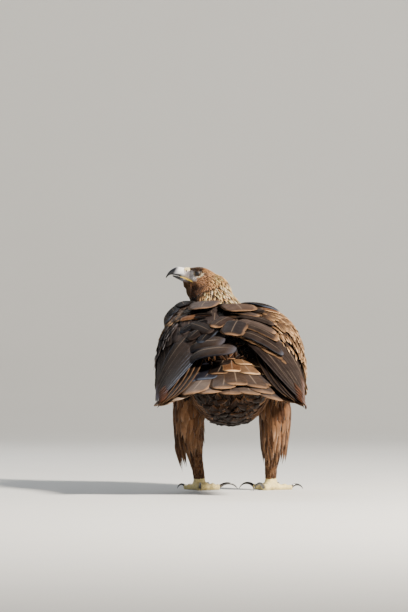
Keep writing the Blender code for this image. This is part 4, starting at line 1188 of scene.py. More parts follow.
def grow_face():
    rng = np.random.default_rng(SEED + 1)

    def where(points):
        ahead, _, away = from_eye(points)
        bare = (away < 0.01) | (ahead > 0.0196)
        return on_head(points) * ~bare * (near_leg(points) < 0.5)

    def spacing(points):
        ahead = points[:, 0] - EYE_LINE[0]
        return mix(0.00105, 0.0036, ease(-ahead, -0.02, 0.046)) * 1.0

    roots = hide.scatter(spacing, where, rng)
    ahead, _, away = from_eye(roots)
    far = ease(-ahead, -0.02, 0.055)
    length = mix(0.0036, 0.013, far) * mix(0.6, 1.0, ease(away, 0.01, 0.016))
    half = mix(0.00085, 0.0025, far)
    rise = mix(0.0006, 0.0016, far)
    tone = face_tone(roots)
    coat = Coat()
    verts = hide.grow(SMALL, roots, length, half, pointed(0.6, 0.5, 1.6), rise, rng, camber=0.25,
                      thick=0.0003, splay=0.12, base=0.0003)
    pale = np.clip(tone * 1.9 * rng.uniform(0.6, 1.4, (len(roots), 1)), 0, 0.95)
    back = ease(-ahead, 0.01, 0.034)[:, None]
    bake = flat_map(roots, EYE_LINE, (0.01, -0.205, 0.47), (0.1, -0.205, 0.49))
    coat.add(verts, SMALL, rng, tone * mix(0.55, 0.14, back), pale, 0.25, tip=pale, tip_share=0.75,
             spread=0.14, tip_from=0.25, bake_root=bake)
    keep(coat.finish("face_coat", "face"), slot="head")


def grow_hackles():
    rng = np.random.default_rng(SEED + 2)

    def where(points):
        _, y, z = points.T
        off = on_head(points) > 0.6
        hidden = (y > -0.1) | (z < 0.33)
        return ~off * ~hidden * (near_leg(points) < 0.5) * 1.0

    def spacing(points):
        return mix(0.0078, 0.0042, ease(points[:, 2], 0.37, 0.46)) * 1.0

    roots = hide.scatter(spacing, where, rng)
    high = ease(roots[:, 2], 0.37, 0.46)
    length = mix(0.04, 0.02, high)
    half = mix(0.0066, 0.003, high)
    gold = neck_gold(roots)[:, None]
    base = mix((0.018, 0.01, 0.006), (0.034, 0.015, 0.006), gold)
    pale = mix((0.06, 0.03, 0.015), (0.86, 0.52, 0.24), gold)
    pale = np.minimum(pale * rng.uniform(0.6, 2.6, (len(roots), 1)), (0.98, 0.8, 0.56))
    coat = Coat()
    rise = mix(0.0036, 0.0018, ease(roots[:, 2], 0.4, 0.44))
    verts = hide.grow(MEDIUM, roots, length, half, pointed(0.55, 0.5, 1.25), rise, rng, camber=0.22,
                      splay=0.08, loose=0.5)
    bake = flat_map(roots, (0.03, -0.18, 0.42), (0.004, -0.122, 0.332), (0.055, -0.202, 0.474))
    coat.add(verts, MEDIUM, rng, base, pale, 0.35, tip=pale, tip_share=0.95, spread=0.1, tip_from=0.38,
             core=0.35, bake_root=bake)
    keep(coat.finish("neck_hackles", "hackle"), slot="neck")


def grow_body():
    rng = np.random.default_rng(SEED + 3)

    def where(points):
        _, y, z = points.T
        neck = (z > 0.345) & (y < -0.1)
        covered = (z > 0.315) & (y > -0.12) & (y < 0.07)
        inside = near_leg(points) > 0.35
        return (~neck & ~covered & ~inside) * mix(0.5, 1.0, ease(-z, -0.34, -0.28))

    def spacing(points):
        return mix(0.008, 0.0082, ease(points[:, 2], 0.2, 0.3)) * 1.0

    roots = hide.scatter(spacing, where, rng)
    back = ease(roots[:, 1], 0.02, 0.14)
    length = mix(0.036, 0.05, back)
    half = mix(0.0105, 0.0085, back)
    base = np.tile((0.012, 0.006, 0.004), (len(roots), 1)) * rng.uniform(0.5, 1.5, (len(roots), 1))
    edge = mix((0.06, 0.03, 0.015), (0.15, 0.066, 0.024), back[:, None])
    edge = edge * rng.uniform(0.1, 1.3, (len(roots), 1)) ** 2
    coat = Coat()
    verts = hide.grow(MEDIUM, roots, length, half, pointed(0.55, 0.45, 1.7), mix(0.0045, 0.0085, back), rng,
                      camber=0.2, thick=0.0005, splay=0.26, loose=0.7)
    bake = flat_map(roots, (0, -0.02, 0.27), (0, 0.2, 0.27), (0, -0.24, 0.3))
    coat.add(verts, MEDIUM, rng, base, edge, 0.55, tip=edge, tip_share=0.4, tip_from=0.7, bake_root=bake)
    keep(coat.finish("body_coat", "body"), slot="torso")


def grow_legs():
    for side, name in ((1, "left"), (-1, "right")):
        rng = np.random.default_rng(SEED + 4 + side)
        coat = Coat()

        def where(points):
            x, _, z = points.T
            return (near_leg(points) > 0.3) & (x * side > 0) & (z > 0.026)

        def spacing(points):
            return mix(0.0028, 0.0072, ease(points[:, 2], 0.08, 0.16)) * 1.0

        roots = hide.scatter(spacing, where, rng)
        high = ease(roots[:, 2], 0.08, 0.17)
        length = mix(0.012, 0.042, high) * mix(0.7, 1.0, ease(roots[:, 2], 0.025, 0.05))
        half = mix(0.0024, 0.0062, high)
        rise = mix(0.0012, 0.0044, high)
        warm = rng.uniform(0, 1, (len(roots), 1))
        base = mix((0.034, 0.015, 0.008), (0.15, 0.074, 0.036), warm)
        edge = mix((0.07, 0.032, 0.015), (0.38, 0.22, 0.12), warm**3)
        verts = hide.grow(MEDIUM, roots, length, half, pointed(0.6, 0.4, 1.4), rise, rng, camber=0.25,
                          splay=0.12, loose=0.5)
        x, y, z, _, _ = leg_columns(THIGH, side)
        bake = flat_map(roots, (x[2], y[2], z[2]), (x[-1], y[-1], z[-1]), (x[0], y[0], z[0]))
        coat.add(verts, MEDIUM, rng, base, edge, 0.35, tip=edge, tip_share=0.45, tip_from=0.45,
                 bake_root=bake)

        surface = trouser_surface(side)
        for root, tip, half, count, height, reach in (
            (0.128, 0.054, 0.0072, 22, -0.004, 115),
            (0.146, 0.068, 0.0078, 24, -0.0026, 130),
            (0.166, 0.088, 0.0082, 26, -0.0012, 145),
            (0.188, 0.11, 0.0088, 26, 0.0, 160),
            (0.21, 0.136, 0.0092, 26, 0.0006, 170),
        ):
            turn = np.radians(np.linspace(-reach, reach, count) + rng.uniform(-4, 4, count))
            short = 0.02 * np.abs(turn) / 2 + rng.uniform(-0.01, 0.008, count)
            short = short + (0.03 * ease(-turn, -0.3, 0.9) if side > 0 else 0.0)
            roots = np.stack([root + rng.uniform(-0.006, 0.006, count), turn * LOCK_SPREAD], 1)
            tips = np.stack([tip + short, roots[:, 1] + rng.uniform(-0.004, 0.004, count)], 1)
            warm = rng.uniform(0, 1, (count, 1))
            base = mix((0.032, 0.014, 0.007), (0.16, 0.078, 0.038), warm)
            edge = mix((0.07, 0.032, 0.015), (0.48, 0.3, 0.18), warm**3)
            verts = lay(surface, MEDIUM, roots, tips, half * rng.uniform(0.8, 1.15, count), height,
                        pointed(0.7, 0.35, 1.5), sink=0.009, sunk=0.5, camber=0.25, ragged=0.03, rng=rng,
                        bow=rng.uniform(-0.4, 0.4, count))
            bake = np.stack([0.5 + turn / 7, np.full(count, (root - 0.02) / 0.25)], 1)
            coat.add(verts, MEDIUM, rng, base, edge, 0.4, tip=edge, tip_share=0.45, tip_from=0.5,
                     bake_root=bake)
        if side > 0:
            count = 9
            turn = np.radians(np.linspace(48, 112, count))
            roots = np.stack([np.full(count, 0.13), turn * LOCK_SPREAD], 1)
            tips = np.stack([0.041 + 0.022 * np.abs(np.linspace(-1, 1, count)), turn * LOCK_SPREAD], 1)
            verts = lay(surface, MEDIUM, roots, tips, 0.007, np.linspace(-0.004, 0.002, count),
                        pointed(0.7, 0.3, 1.5), sink=0.009, sunk=0.5, camber=0.25, ragged=0.03, rng=rng)
            warm = rng.uniform(0, 1, (count, 1))
            base = mix((0.032, 0.014, 0.007), (0.13, 0.06, 0.028), warm)
            coat.add(verts, MEDIUM, rng, base, base * 2, 0.4,
                     bake_root=np.stack([0.5 + turn / 7, np.full(count, 0.4)], 1))
        keep(coat.finish(f"leg_feathers_{name}", "trousers"), slot=f"thigh_{name}")


# The wings, the mantle and the tail

# The secondaries from the wing's edge to the spine: root and tip, each along and across.
SECONDARIES = (
    (-0.058, 0.226, 0.195, 0.238),
    (-0.052, 0.212, 0.225, 0.222),
    (-0.045, 0.19, 0.235, 0.2),
    (-0.005, 0.15, 0.236, 0.172),
    (0.025, 0.11, 0.23, 0.14),
    (0.04, 0.075, 0.222, 0.104),
    (0.035, 0.05, 0.212, 0.066),
    (0.02, 0.032, 0.195, 0.03),
)
# The tail feathers and the longest coverts over them, the deepest first: tip as it is seen, half width,
# height over the tail, colour of the web and of its rim, how strong the rim is.
# On the left the webs are near black and bluish and the rims bluish: painted shade and painted sky sheen.
# On the right the pale gold rims carry painted sunlight.
TAIL_TIPS = (
    (0.16, 0.188, 0.023, -0.008, (0.06, 0.04, 0.03), SAND, 0.7),
    (-0.15, 0.19, 0.026, -0.008, DARK, SAND, 0.45),
    (0.142, 0.19, 0.027, -0.006, (0.014, 0.015, 0.022), (0.52, 0.36, 0.25), 0.9),
    (-0.124, 0.197, 0.03, -0.0056, GREY_BROWN, SAND, 0.55),
    (0.118, 0.2, 0.031, -0.004, (0.012, 0.013, 0.02), (0.52, 0.38, 0.27), 0.9),
    (-0.096, 0.202, 0.032, -0.0036, (0.04, 0.032, 0.03), SAND, 0.55),
    (0.0, 0.214, 0.032, -0.003, GREY_BROWN, SAND, 0.6),
    (-0.044, 0.214, 0.032, -0.0024, (0.058, 0.042, 0.034), SAND, 0.6),
    (0.046, 0.216, 0.033, -0.001, (0.07, 0.05, 0.04), SAND, 0.7),
    (-0.074, 0.216, 0.032, 0.0006, (0.044, 0.032, 0.027), SAND, 0.5),
    (0.088, 0.214, 0.033, 0.0024, (0.082, 0.06, 0.048), SAND, 0.75),
    (0.018, 0.226, 0.03, 0.0044, (0.04, 0.028, 0.022), SAND, 0.8),
    (-0.06, 0.228, 0.032, 0.0052, (0.042, 0.028, 0.021), SAND, 0.5),
    (-0.014, 0.234, 0.03, 0.0066, (0.04, 0.025, 0.017), SAND, 0.85),
    (0.06, 0.244, 0.028, 0.0056, (0.012, 0.012, 0.017), PAINTED_SKY_SHEEN, 0.5),
    (0.094, 0.238, 0.026, 0.0046, (0.012, 0.012, 0.018), PAINTED_SKY_SHEEN, 0.45),
    (-0.1, 0.228, 0.026, 0.005, (0.04, 0.03, 0.026), SAND, 0.6),
    (-0.086, 0.252, 0.024, 0.008, WARM, GOLD_IN_PAINTED_SUN, 0.75),
    (0.03, 0.256, 0.024, 0.0086, BLACK_BROWN, SAND, 0.5),
    (-0.046, 0.256, 0.027, 0.0094, (0.11, 0.062, 0.034), GOLD_IN_PAINTED_SUN, 0.55),
    (-0.004, 0.262, 0.024, 0.0104, WARM, GOLD_IN_PAINTED_SUN, 0.8),
    (-0.07, 0.27, 0.02, 0.012, (0.15, 0.08, 0.036), GOLD_IN_PAINTED_SUN, 0.8),
    (0.02, 0.276, 0.021, 0.012, BLACK_BROWN, GREY_BROWN, 0.6),
    (-0.034, 0.276, 0.022, 0.0134, (0.13, 0.07, 0.034), GOLD_IN_PAINTED_SUN, 0.55),
    (-0.01, 0.288, 0.018, 0.015, WARM, SAND, 0.7),
)
# How far back the tip of each primary lies.
PRIMARY_TIPS = (0.4, 0.434, 0.456, 0.462, 0.448, 0.424, 0.394, 0.362, 0.33)
# The long feathers that fan out from the middle of the back to the wing tip, the deepest first:
# root, bend and tip, each along and across.
LONG_FEATHERS = {
    1: (
        (0.14, 0.01, 0.27, 0.134, 0.372, 0.178),
        (0.15, 0.01, 0.252, 0.136, 0.366, 0.184),
        (0.145, 0.01, 0.238, 0.138, 0.352, 0.19),
        (0.14, 0.01, 0.224, 0.138, 0.33, 0.196),
        (0.135, 0.01, 0.21, 0.138, 0.304, 0.202),
        (0.12, 0.01, 0.196, 0.138, 0.27, 0.208),
        (0.1, 0.01, 0.18, 0.138, 0.235, 0.21),
    ),
    -1: (
        (0.15, 0.0, 0.25, 0.136, 0.462, 0.192),
        (0.145, 0.0, 0.228, 0.138, 0.43, 0.198),
        (0.14, 0.0, 0.208, 0.138, 0.35, 0.212),
        (0.135, -0.004, 0.196, 0.136, 0.3, 0.212),
        (0.13, -0.008, 0.184, 0.134, 0.262, 0.214),
        (0.12, -0.01, 0.172, 0.132, 0.236, 0.212),
        (0.105, -0.01, 0.16, 0.13, 0.215, 0.21),
    ),
}
# The feathers deep under these: root, bend and tip.
DEEP_FEATHERS = (
    (0.11, 0.06, 0.3, 0.096, 0.42, 0.15), (0.11, 0.07, 0.29, 0.112, 0.44, 0.166),
    (0.11, 0.08, 0.28, 0.126, 0.452, 0.178), (0.11, 0.09, 0.26, 0.14, 0.446, 0.19),
)
# The innermost feathers of the left wing, which cross the spine: root, bend and tip.
CROSSING = (
    (0.19, 0.19, 0.234, 0.096, 0.268, -0.014),
    (0.14, 0.17, 0.2, 0.094, 0.226, 0.012),
)
# The big feathers of the back as they are seen: root and tip (distance to the left and height), half width,
# height over the cape, colour of the web and of its rim, how strong the rim is.
# Those on the left are near black as painted shade, the bluish rims are painted sky sheen, and the pale
# gold rims on the right are painted sunlight.
BACK_FEATHERS = (
    (0.03, 0.388, 0.11, 0.352, 0.015, 0.001, BLACK_IN_PAINTED_SHADE, PAINTED_SKY_SHEEN, 0.12),
    (0.05, 0.4, 0.094, 0.39, 0.012, 0.003, BLACK_IN_PAINTED_SHADE, DARK, 0.45),
    (0.04, 0.396, 0.078, 0.382, 0.012, 0.0026, BLACK_IN_PAINTED_SHADE, DARK, 0.3),
    (0.06, 0.398, 0.118, 0.376, 0.013, 0.0022, BLACK_IN_PAINTED_SHADE, PAINTED_SKY_SHEEN, 0.2),
    (0.03, 0.38, 0.092, 0.336, 0.018, 0.0008, BLACK_BROWN, GREY_BROWN, 0.35),
    (0.104, 0.376, 0.04, 0.352, 0.017, 0.002, BLACK_BROWN, GREY_BROWN, 0.5),
    (0.028, 0.372, 0.066, 0.33, 0.018, 0.0004, BLACK_IN_PAINTED_SHADE, PAINTED_SKY_SHEEN, 0.3),
    (0.06, 0.388, 0.108, 0.378, 0.012, 0.004, WARM, SAND, 0.9),
    (0.03, 0.394, 0.076, 0.388, 0.01, 0.0042, BLACK_IN_PAINTED_SHADE, WARM, 0.5),
    (-0.004, 0.362, -0.116, 0.304, 0.02, 0.0004, DARK, PAINTED_SKY_SHEEN, 0.2),
    (0.0, 0.376, -0.104, 0.334, 0.016, 0.0024, DARK, SAND, 0.6),
    (0.004, 0.384, -0.1, 0.348, 0.014, 0.0034, GREY_BROWN, SAND, 0.7),
    (0.0, 0.392, -0.096, 0.366, 0.014, 0.0044, DARK, GREY_BROWN, 0.7),
    (0.012, 0.398, -0.064, 0.384, 0.012, 0.0054, GREY_BROWN, SAND, 0.75),
    (-0.012, 0.39, 0.038, 0.36, 0.02, 0.005, (0.022, 0.014, 0.011), SAND, 0.8),
    (-0.024, 0.384, 0.0, 0.342, 0.027, 0.0062, (0.015, 0.012, 0.012), SAND, 0.45),
    (-0.04, 0.398, -0.076, 0.394, 0.011, 0.0066, BLACK_BROWN, GREY_BROWN, 0.55),
    (-0.06, 0.404, -0.108, 0.39, 0.012, 0.0062, WARM, GOLD_IN_PAINTED_SUN, 0.8),
)
# The dark feathers of the shoulders: root and tip, each along and across, half width, height of the root,
# rise of the tip, colour of the web and of its rim, how strong the rim is.
# The near black webs are painted shade and the bluish rims painted sky sheen.
PLATES = (
    (-0.13, 0.085, 0.006, 0.07, 0.02, 0.004, 0.003, BLACK_IN_PAINTED_SHADE, DARK, 0.4),
    (-0.14, 0.1, -0.012, 0.098, 0.018, 0.005, 0.005, BLACK_IN_PAINTED_SHADE, DARK, 0.35),
    (-0.13, 0.12, -0.002, 0.122, 0.017, 0.0045, 0.0045, BLACK_IN_PAINTED_SHADE, PAINTED_SKY_SHEEN, 0.15),
    (-0.12, 0.14, 0.012, 0.142, 0.016, 0.004, 0.004, DARK, PAINTED_SKY_SHEEN, 0.35),
    (-0.12, -0.04, 0.02, -0.092, 0.034, 0.005, 0.004, BLACK_BROWN, PAINTED_SKY_SHEEN, 0.4),
)
# The two broad feathers that hang from the neck, as seen: root, tip, half width, height and colours.
COLLAR = (
    (-0.002, 0.413, -0.026, 0.39, 0.04, 0.008, (0.06, 0.036, 0.025), SAND, 0.6),
    (0.038, 0.415, 0.062, 0.3925, 0.034, 0.011, (0.056, 0.042, 0.038), SAND, 0.5),
)


def headed(roots, degrees, length):
    """The tips of feathers from their roots, headings and lengths."""
    turn = np.radians(degrees)
    return roots + np.stack([np.cos(turn), np.sin(turn)], 1) * length[:, None]


def wing_map(roots):
    """The place of each root of a wing feather on the flat map."""
    return np.stack([0.04 + 0.9 * roots[:, 1] / 0.3, 0.05 + 0.9 * (roots[:, 0] + 0.22) / 0.4], 1)


def wing_arm(side):
    """The wing's own skin under its feathers."""
    rows, count = 34, 26
    along = np.linspace(-0.18, 0.052, rows)[:, None] + np.zeros((1, count))
    share = np.linspace(0, 1, count)[None]
    inner = 0.08 - 0.027 * ease(along, -0.18, -0.11)
    outer = CAPE_SURFACE.lower_edge(along) - 0.018
    across = inner + (outer - inner) * share
    bulge = np.clip(1 - ((along + 0.06) / 0.12) ** 2, 0, 1)
    bulge = bulge * np.clip(1 - ((across - 0.15) / 0.11) ** 2, 0, 1)
    rim = np.minimum(ease(share, 0, 0.12), ease(1 - share, 0, 0.12)) * ease(along, -0.18, -0.16)
    rim = rim * ease(-along, -0.052, -0.03)
    top = cape_side(side)(along, across, -0.0125 - 0.004 * (1 - rim))
    under = cape_side(side)(along, across, -0.0165 - 0.006 * rim - 0.044 * bulge)
    verts = np.concatenate([top.reshape(-1, 3), under.reshape(-1, 3)])
    index = np.arange(rows * count).reshape(rows, count)
    a, b, c, d = index[:-1, :-1], index[:-1, 1:], index[1:, 1:], index[1:, :-1]
    outer_faces = np.stack([a, b, c, d], -1).reshape(-1, 4)
    shift = rows * count
    border = np.concatenate([index[0], index[1:, -1], index[-1, -2::-1], index[-2:0:-1, 0]])
    after = np.roll(border, -1)
    wall = np.stack([border, border + shift, after + shift, after], -1)
    quads = np.concatenate([outer_faces, outer_faces[:, ::-1] + shift, wall])
    if side > 0:
        quads = quads[:, ::-1]
    tone = np.tile((0.04, 0.025, 0.018), (len(verts), 1))
    return mesh_object(f"wing_skin_{'left' if side > 0 else 'right'}", verts, quads, "down", tone)


def wing_feathers(side):
    name = "left" if side > 0 else "right"
    rng = np.random.default_rng(SEED + 20 + side)
    surface = cape_side(side)
    # The right wing is the sunlit side: it gets brighter painted tones, and the left wing darker tones as
    # painted shade.
    sunny = side < 0
    flight, coverts, lesser = Coat(), Coat(), Coat()
    dark = np.array((0.026, 0.016, 0.011) if sunny else (0.019, 0.014, 0.013))
    tan = np.array((0.26, 0.145, 0.072) if sunny else (0.075, 0.062, 0.056))

    tips_along = np.array(PRIMARY_TIPS)
    count = len(tips_along)
    share = np.linspace(0, 1, count)
    roots = np.stack([mix(-0.022, -0.036, share), mix(0.255, 0.225, share)], 1)
    tips = np.stack([tips_along, CAPE_SURFACE.lower_edge(tips_along) - mix(0.02, 0.03, share)], 1)
    height = -0.0125 - 0.0016 * (count - 1 - np.arange(count))
    verts = lay(surface, LARGE, roots, tips, mix(0.0175, 0.0215, share), height,
                rounded(0.3, 0.3, 0.8, 1.7), tilt=0.04, lift=0.01, camber=0.1, skew=0.25, thick=0.0007,
                ragged=0.01, rng=rng)
    flight.add(verts, LARGE, rng, dark * 0.85, RUFOUS, 0.35, tip=RUFOUS, tip_share=0.5, tip_from=0.85,
               spread=0.08)

    lines = between(SECONDARIES, 16)
    count = len(lines)
    roots, tips = lines[:, :2], lines[:, 2:].copy()
    tips += rng.normal(0, 0.0025, tips.shape)
    inner = np.linspace(0, 1, count)
    verts = lay(surface, LARGE, roots, tips, mix(0.026, 0.029, inner), mix(-0.008, -0.007, inner),
                rounded(0.35, 0.3, 0.84, 2.0), sink=0.006, sunk=0.2, tilt=mix(0.11, 0.06, inner),
                camber=0.1, skew=0.18, thick=0.0007, ragged=0.012, rng=rng, lift=0.003)
    flight.add(verts, LARGE, rng, dark, tan * 0.8, 0.45, spread=0.1, rim=0.88)

    deep = np.array(DEEP_FEATHERS)
    verts = lay(surface, LARGE, deep[:, :2], deep[:, 4:], 0.019, (-0.023, -0.02, -0.017, -0.014),
                rounded(0.35, 0.25, 0.84, 1.8), via=deep[:, 2:4], camber=0.08, thick=0.0008, ragged=0.008,
                rng=rng)
    flight.add(verts, LARGE, rng, BLACK_BROWN, SAND, 0.3, rim=0.93, spread=0.05)

    fan = np.array(LONG_FEATHERS[side])
    count = len(fan)
    order = np.linspace(0, 1, count)
    verts = lay(surface, LARGE, fan[:, :2], fan[:, 4:], mix(0.02, 0.027, order), mix(-0.011, -0.002, order),
                rounded(0.35, 0.25, 0.8, 1.9), via=fan[:, 2:4], camber=0.1, skew=-0.1, thick=0.0008,
                ragged=0.008, rng=rng, sink=0.004, lift=0.002)
    # The bluish rims are a painted sky sheen, mixed with sand on the sunlit right; the deeper feathers are
    # darker as painted shade under the upper ones.
    rim = PAINTED_SKY_SHEEN if not sunny else mix(PAINTED_SKY_SHEEN, SAND, 0.5)
    base = mix(BLACK_BROWN, DARK * 1.3, order[:, None])
    flight.add(verts, LARGE, rng, base, rim, 0.55, tip=RUFOUS, tip_share=0.5, tip_from=0.86, spread=0.08,
               rim=0.9)
    if side > 0:
        cross = np.array(CROSSING)
        count = len(cross)
        verts = lay(surface, LARGE, cross[:, :2], cross[:, 4:], [0.03, 0.026], [-0.005, -0.002],
                    rounded(0.35, 0.25, 0.84, 2.4), via=cross[:, 2:4], camber=0.2, thick=0.0008,
                    ragged=0.008, rng=rng, sink=0.034, sunk=0.62, lift=0.002)
        # Near black in painted shade, with a bluish rim of painted sky sheen.
        flight.add(verts, LARGE, rng, BLACK_IN_PAINTED_SHADE, (0.07, 0.09, 0.13), 0.3, spread=0.05, rim=0.76,
                   tip=(0.03, 0.02, 0.015), tip_share=1.0, tip_from=0.35)

    for start, end, half, height, form, number in (
        (-0.022, 0.118, 0.0235, -0.003, LARGE, 13),
        (-0.05, 0.064, 0.0195, -0.001, MEDIUM, 15),
        (-0.078, 0.024, 0.0175, 0.0006, MEDIUM, 17),
    ):
        lines = between(SECONDARIES, number)
        way = unit(lines[:, 2:] - lines[:, :2])
        first = lines[:, :2] + way * start
        last = lines[:, :2] + way * (end + rng.normal(0, 0.009, (number, 1)))
        last = last + rng.normal(0, 0.004, (number, 2))
        verts = lay(surface, form, first, last, half * rng.uniform(0.7, 1.15, number), height,
                    rounded(0.35, 0.4, 0.7, 2.0), sink=0.009, sunk=0.3, tilt=0.1, camber=0.14, thick=0.0006,
                    ragged=0.015, rng=rng, lift=0.002)
        # Fewer pale rims on the left wing: painted shade.
        share = rng.uniform(0.1, 1.0, number) * (1.0 if sunny else 0.6)
        coverts.add(verts, form, rng, dark * 1.15, tan, share, spread=0.14, rim=0.78, tip=tan,
                    tip_share=share * 0.5, tip_from=0.8)

    root_y, root_a = columns(SECONDARIES)[:2, ::-1]
    places = []
    for row, along in enumerate(np.arange(-0.214, 0.09, 0.0125)):
        for across in np.arange(0.05 + 0.0066 * (row % 2), 0.29, 0.0132):
            limit = np.interp(across, root_a, root_y) + (0.045 if sunny else 0.01)
            if along < limit and across < CAPE_SURFACE.lower_edge(along) - 0.004:
                places.append((along, across))
    places = np.array(places) + rng.normal(0, 0.0036, (len(places), 2))
    number = len(places)
    size = ease(places[:, 0], -0.21, -0.05)
    heading = mix(6.0, 34.0, ease(places[:, 1], 0.22, 0.08)) + rng.normal(0, 9, number)
    length = mix(0.026, 0.046, size) * rng.uniform(0.7, 1.25, number)
    last = headed(places, heading, length)
    half = mix(0.0084, 0.0118, size) * rng.uniform(0.65, 1.15, number)
    verts = lay(surface, MEDIUM, places, last, half, mix(-0.001, 0.002, size), rounded(0.4, 0.4, 0.62, 1.9),
                sink=0.008, sunk=0.45, camber=0.2, ragged=0.02, rng=rng,
                lift=rng.uniform(0.001, 0.004, number), tilt=0.05)
    gold = rng.uniform(0, 1, (number, 1)) ** 0.8 * ease(places[:, 1:], 0.05, 0.12)
    # Less gold on the left wing: painted shade; the right keeps the gold that the sun lights.
    if not sunny:
        gold = gold * 0.45
    base = mix(dark * 1.1, (0.1, 0.05, 0.022), gold)
    edge = mix(tan * 0.9, (0.78, 0.48, 0.24), gold)
    share = rng.uniform(0.3, 0.9, number)
    lesser.add(verts, MEDIUM, rng, base, edge, share, spread=0.12, tip=edge, tip_share=share * 0.7,
               tip_from=0.62, rim=0.6, bake_root=wing_map(places))

    number = 190 if sunny else 130
    low_end = np.array((-0.12, 0.085) if sunny else (-0.13, 0.11))
    high_end = np.array((0.15, 0.215) if sunny else (0.1, 0.2))
    first = low_end + (high_end - low_end) * rng.random((number, 2))
    heading = mix(40.0, 14.0, ease(first[:, 1], 0.08, 0.18)) + rng.normal(0, 12, number)
    length = rng.uniform(0.022, 0.044, number)
    last = headed(first, heading, length)
    verts = lay(surface, MEDIUM, first, last, rng.uniform(0.0028, 0.0062, number),
                rng.uniform(0.0012, 0.0044, number), pointed(0.5, 0.5, 1.8), sink=0.007, sunk=0.5,
                camber=0.25, ragged=0.05, rng=rng, lift=rng.uniform(0.0005, 0.003, number),
                bow=rng.uniform(-0.8, 0.8, number))
    # Fewer bright wisps on the left, their rims a bluish grey painted sheen; on the right their bright gold
    # rims are partly painted sunlight.
    bright = rng.uniform(0, 1, (number, 1)) ** (1.0 if sunny else 2.2)
    base = mix(DARK, (0.17, 0.085, 0.038), bright) if sunny else np.tile(DARK, (number, 1))
    edge = mix(WARM, (0.95, 0.64, 0.36), bright) if sunny else mix(DARK * 2, (0.3, 0.3, 0.33), bright)
    lesser.add(verts, MEDIUM, rng, base, edge, rng.uniform(0.4, 1.0, number), rim=0.45, tip=edge,
               tip_share=0.6, tip_from=0.55, bake_root=wing_map(first))

    for first_along, last_along, up_by, reach, number, half in (
        (-0.13, 0.05, 0.042, 0.075, 11, 0.0165),
        (-0.145, 0.01, 0.062, 0.06, 11, 0.015),
    ):
        places = np.linspace(first_along, last_along, number)
        first = np.stack([places, CAPE_SURFACE.lower_edge(places) - up_by], 1)
        ends = places + reach
        last = np.stack([ends, CAPE_SURFACE.lower_edge(ends) - up_by + 0.012], 1)
        verts = lay(surface, LARGE, first, last, half,
                    np.linspace(-0.001, -0.004, number) + 0.06 * (up_by - 0.042),
                    rounded(0.4, 0.4, 0.72, 2.0), sink=0.01, sunk=0.4, camber=0.14, thick=0.0007,
                    ragged=0.015, rng=rng, lift=0.002)
        base = np.tile(dark, (number, 1)) * rng.uniform(0.7, 1.5, (number, 1))
        coverts.add(verts, LARGE, rng, base, tan, rng.uniform(0.3, 0.8, number), rim=0.84)

    slot = f"wing_{name}"
    keep(flight.finish(f"flight_feathers_{name}", "vane"), slot, slot=slot)
    keep(coverts.finish(f"coverts_{name}", "covert"), slot=slot)
    keep(lesser.finish(f"lesser_coverts_{name}", "covert"), slot=slot)
    keep(wing_arm(side), slot=slot)


def mantle_feathers():
    rng = np.random.default_rng(SEED + 31)
    coat = Coat()
    for root, tip, root_step, tip_step, half, height, number, lift in (
        (-0.035, 0.165, 0.014, 0.029, 0.029, -0.0046, 8, 0.001),
        (-0.062, 0.11, 0.015, 0.029, 0.028, -0.0024, 9, 0.002),
        (-0.092, 0.052, 0.017, 0.03, 0.028, 0.0, 9, 0.003),
    ):
        k = np.arange(number) - (number - 1) / 2
        first = np.stack([root - 0.004 * np.abs(k), root_step * k], 1) + rng.normal(0, 0.003, (number, 2))
        last = np.stack([tip - 0.008 * np.abs(k), tip_step * k], 1)
        last += rng.normal(0, (0.009, 0.006), (number, 2))
        verts = lay(back_surface, LARGE, first, last, half * rng.uniform(0.85, 1.15, number),
                    height - 0.0007 * np.abs(k), rounded(0.35, 0.42, 0.66, 2.1), sink=0.01, sunk=0.35,
                    tilt=0.05 * np.sign(k), camber=0.12, thick=0.0007, ragged=0.012, rng=rng, lift=lift,
                    bow=rng.uniform(-0.25, 0.25, number))
        # Darker webs and nearly black rims towards the left: painted shade; sandy rims on the right.
        warm = ease(-tip_step * k, -0.02, 0.06)[:, None]
        base = mix(BLACK_BROWN * 0.5, DARK * 1.2, warm) * rng.uniform(0.6, 1.4, (number, 1))
        edge = mix(BLACK_BROWN, SAND * 0.7, warm)
        coat.add(verts, LARGE, rng, base, edge, rng.uniform(0.3, 0.9, number), spread=0.1, rim=0.84)
    for x0, z0, x1, z1, half, height, base, edge, share in BACK_FEATHERS:
        ends = seen_place(((x0, z0), (x1, z1)))
        verts = lay(back_surface, LARGE, ends[:1], ends[1:], half, height, rounded(0.45, 0.35, 0.7, 2.2),
                    sink=0.012, sunk=0.3, camber=0.16, thick=0.0008, ragged=0.028, rng=rng, lift=0.0035,
                    bow=rng.uniform(-0.12, 0.12))
        coat.add(verts, LARGE, rng, base, edge, share, spread=0.05, rim=0.8, tip=edge,
                 tip_share=share * 0.35, tip_from=0.86)
    for y0, a0, y1, a1, half, height, lift, base, edge, share in PLATES:
        verts = lay(back_surface, LARGE, (y0, a0), (y1, a1), half, height, rounded(0.45, 0.35, 0.62, 2.4),
                    sink=0.01, sunk=0.3, camber=0.1, thick=0.001, ragged=0.008, rng=rng, lift=lift)
        coat.add(verts, LARGE, rng, base, edge, share, spread=0.05, rim=0.88)
    for x0, z0, x1, z1, half, height, base, edge, share in COLLAR:
        ends = seen_place(((x0, z0), (x1, z1)))
        verts = lay(back_surface, LARGE, ends[:1], ends[1:], half, height, rounded(0.6, 0.4, 0.55, 2.6),
                    sink=0.006, sunk=0.25, camber=0.06, thick=0.001, ragged=0.012, rng=rng, lift=0.006,
                    bow=0.15 if x1 > 0 else -0.1)
        coat.add(verts, LARGE, rng, base, edge, share, spread=0.05, rim=0.9)
    keep(coat.finish("mantle_feathers", "covert"), "mantle", slot="mantle")


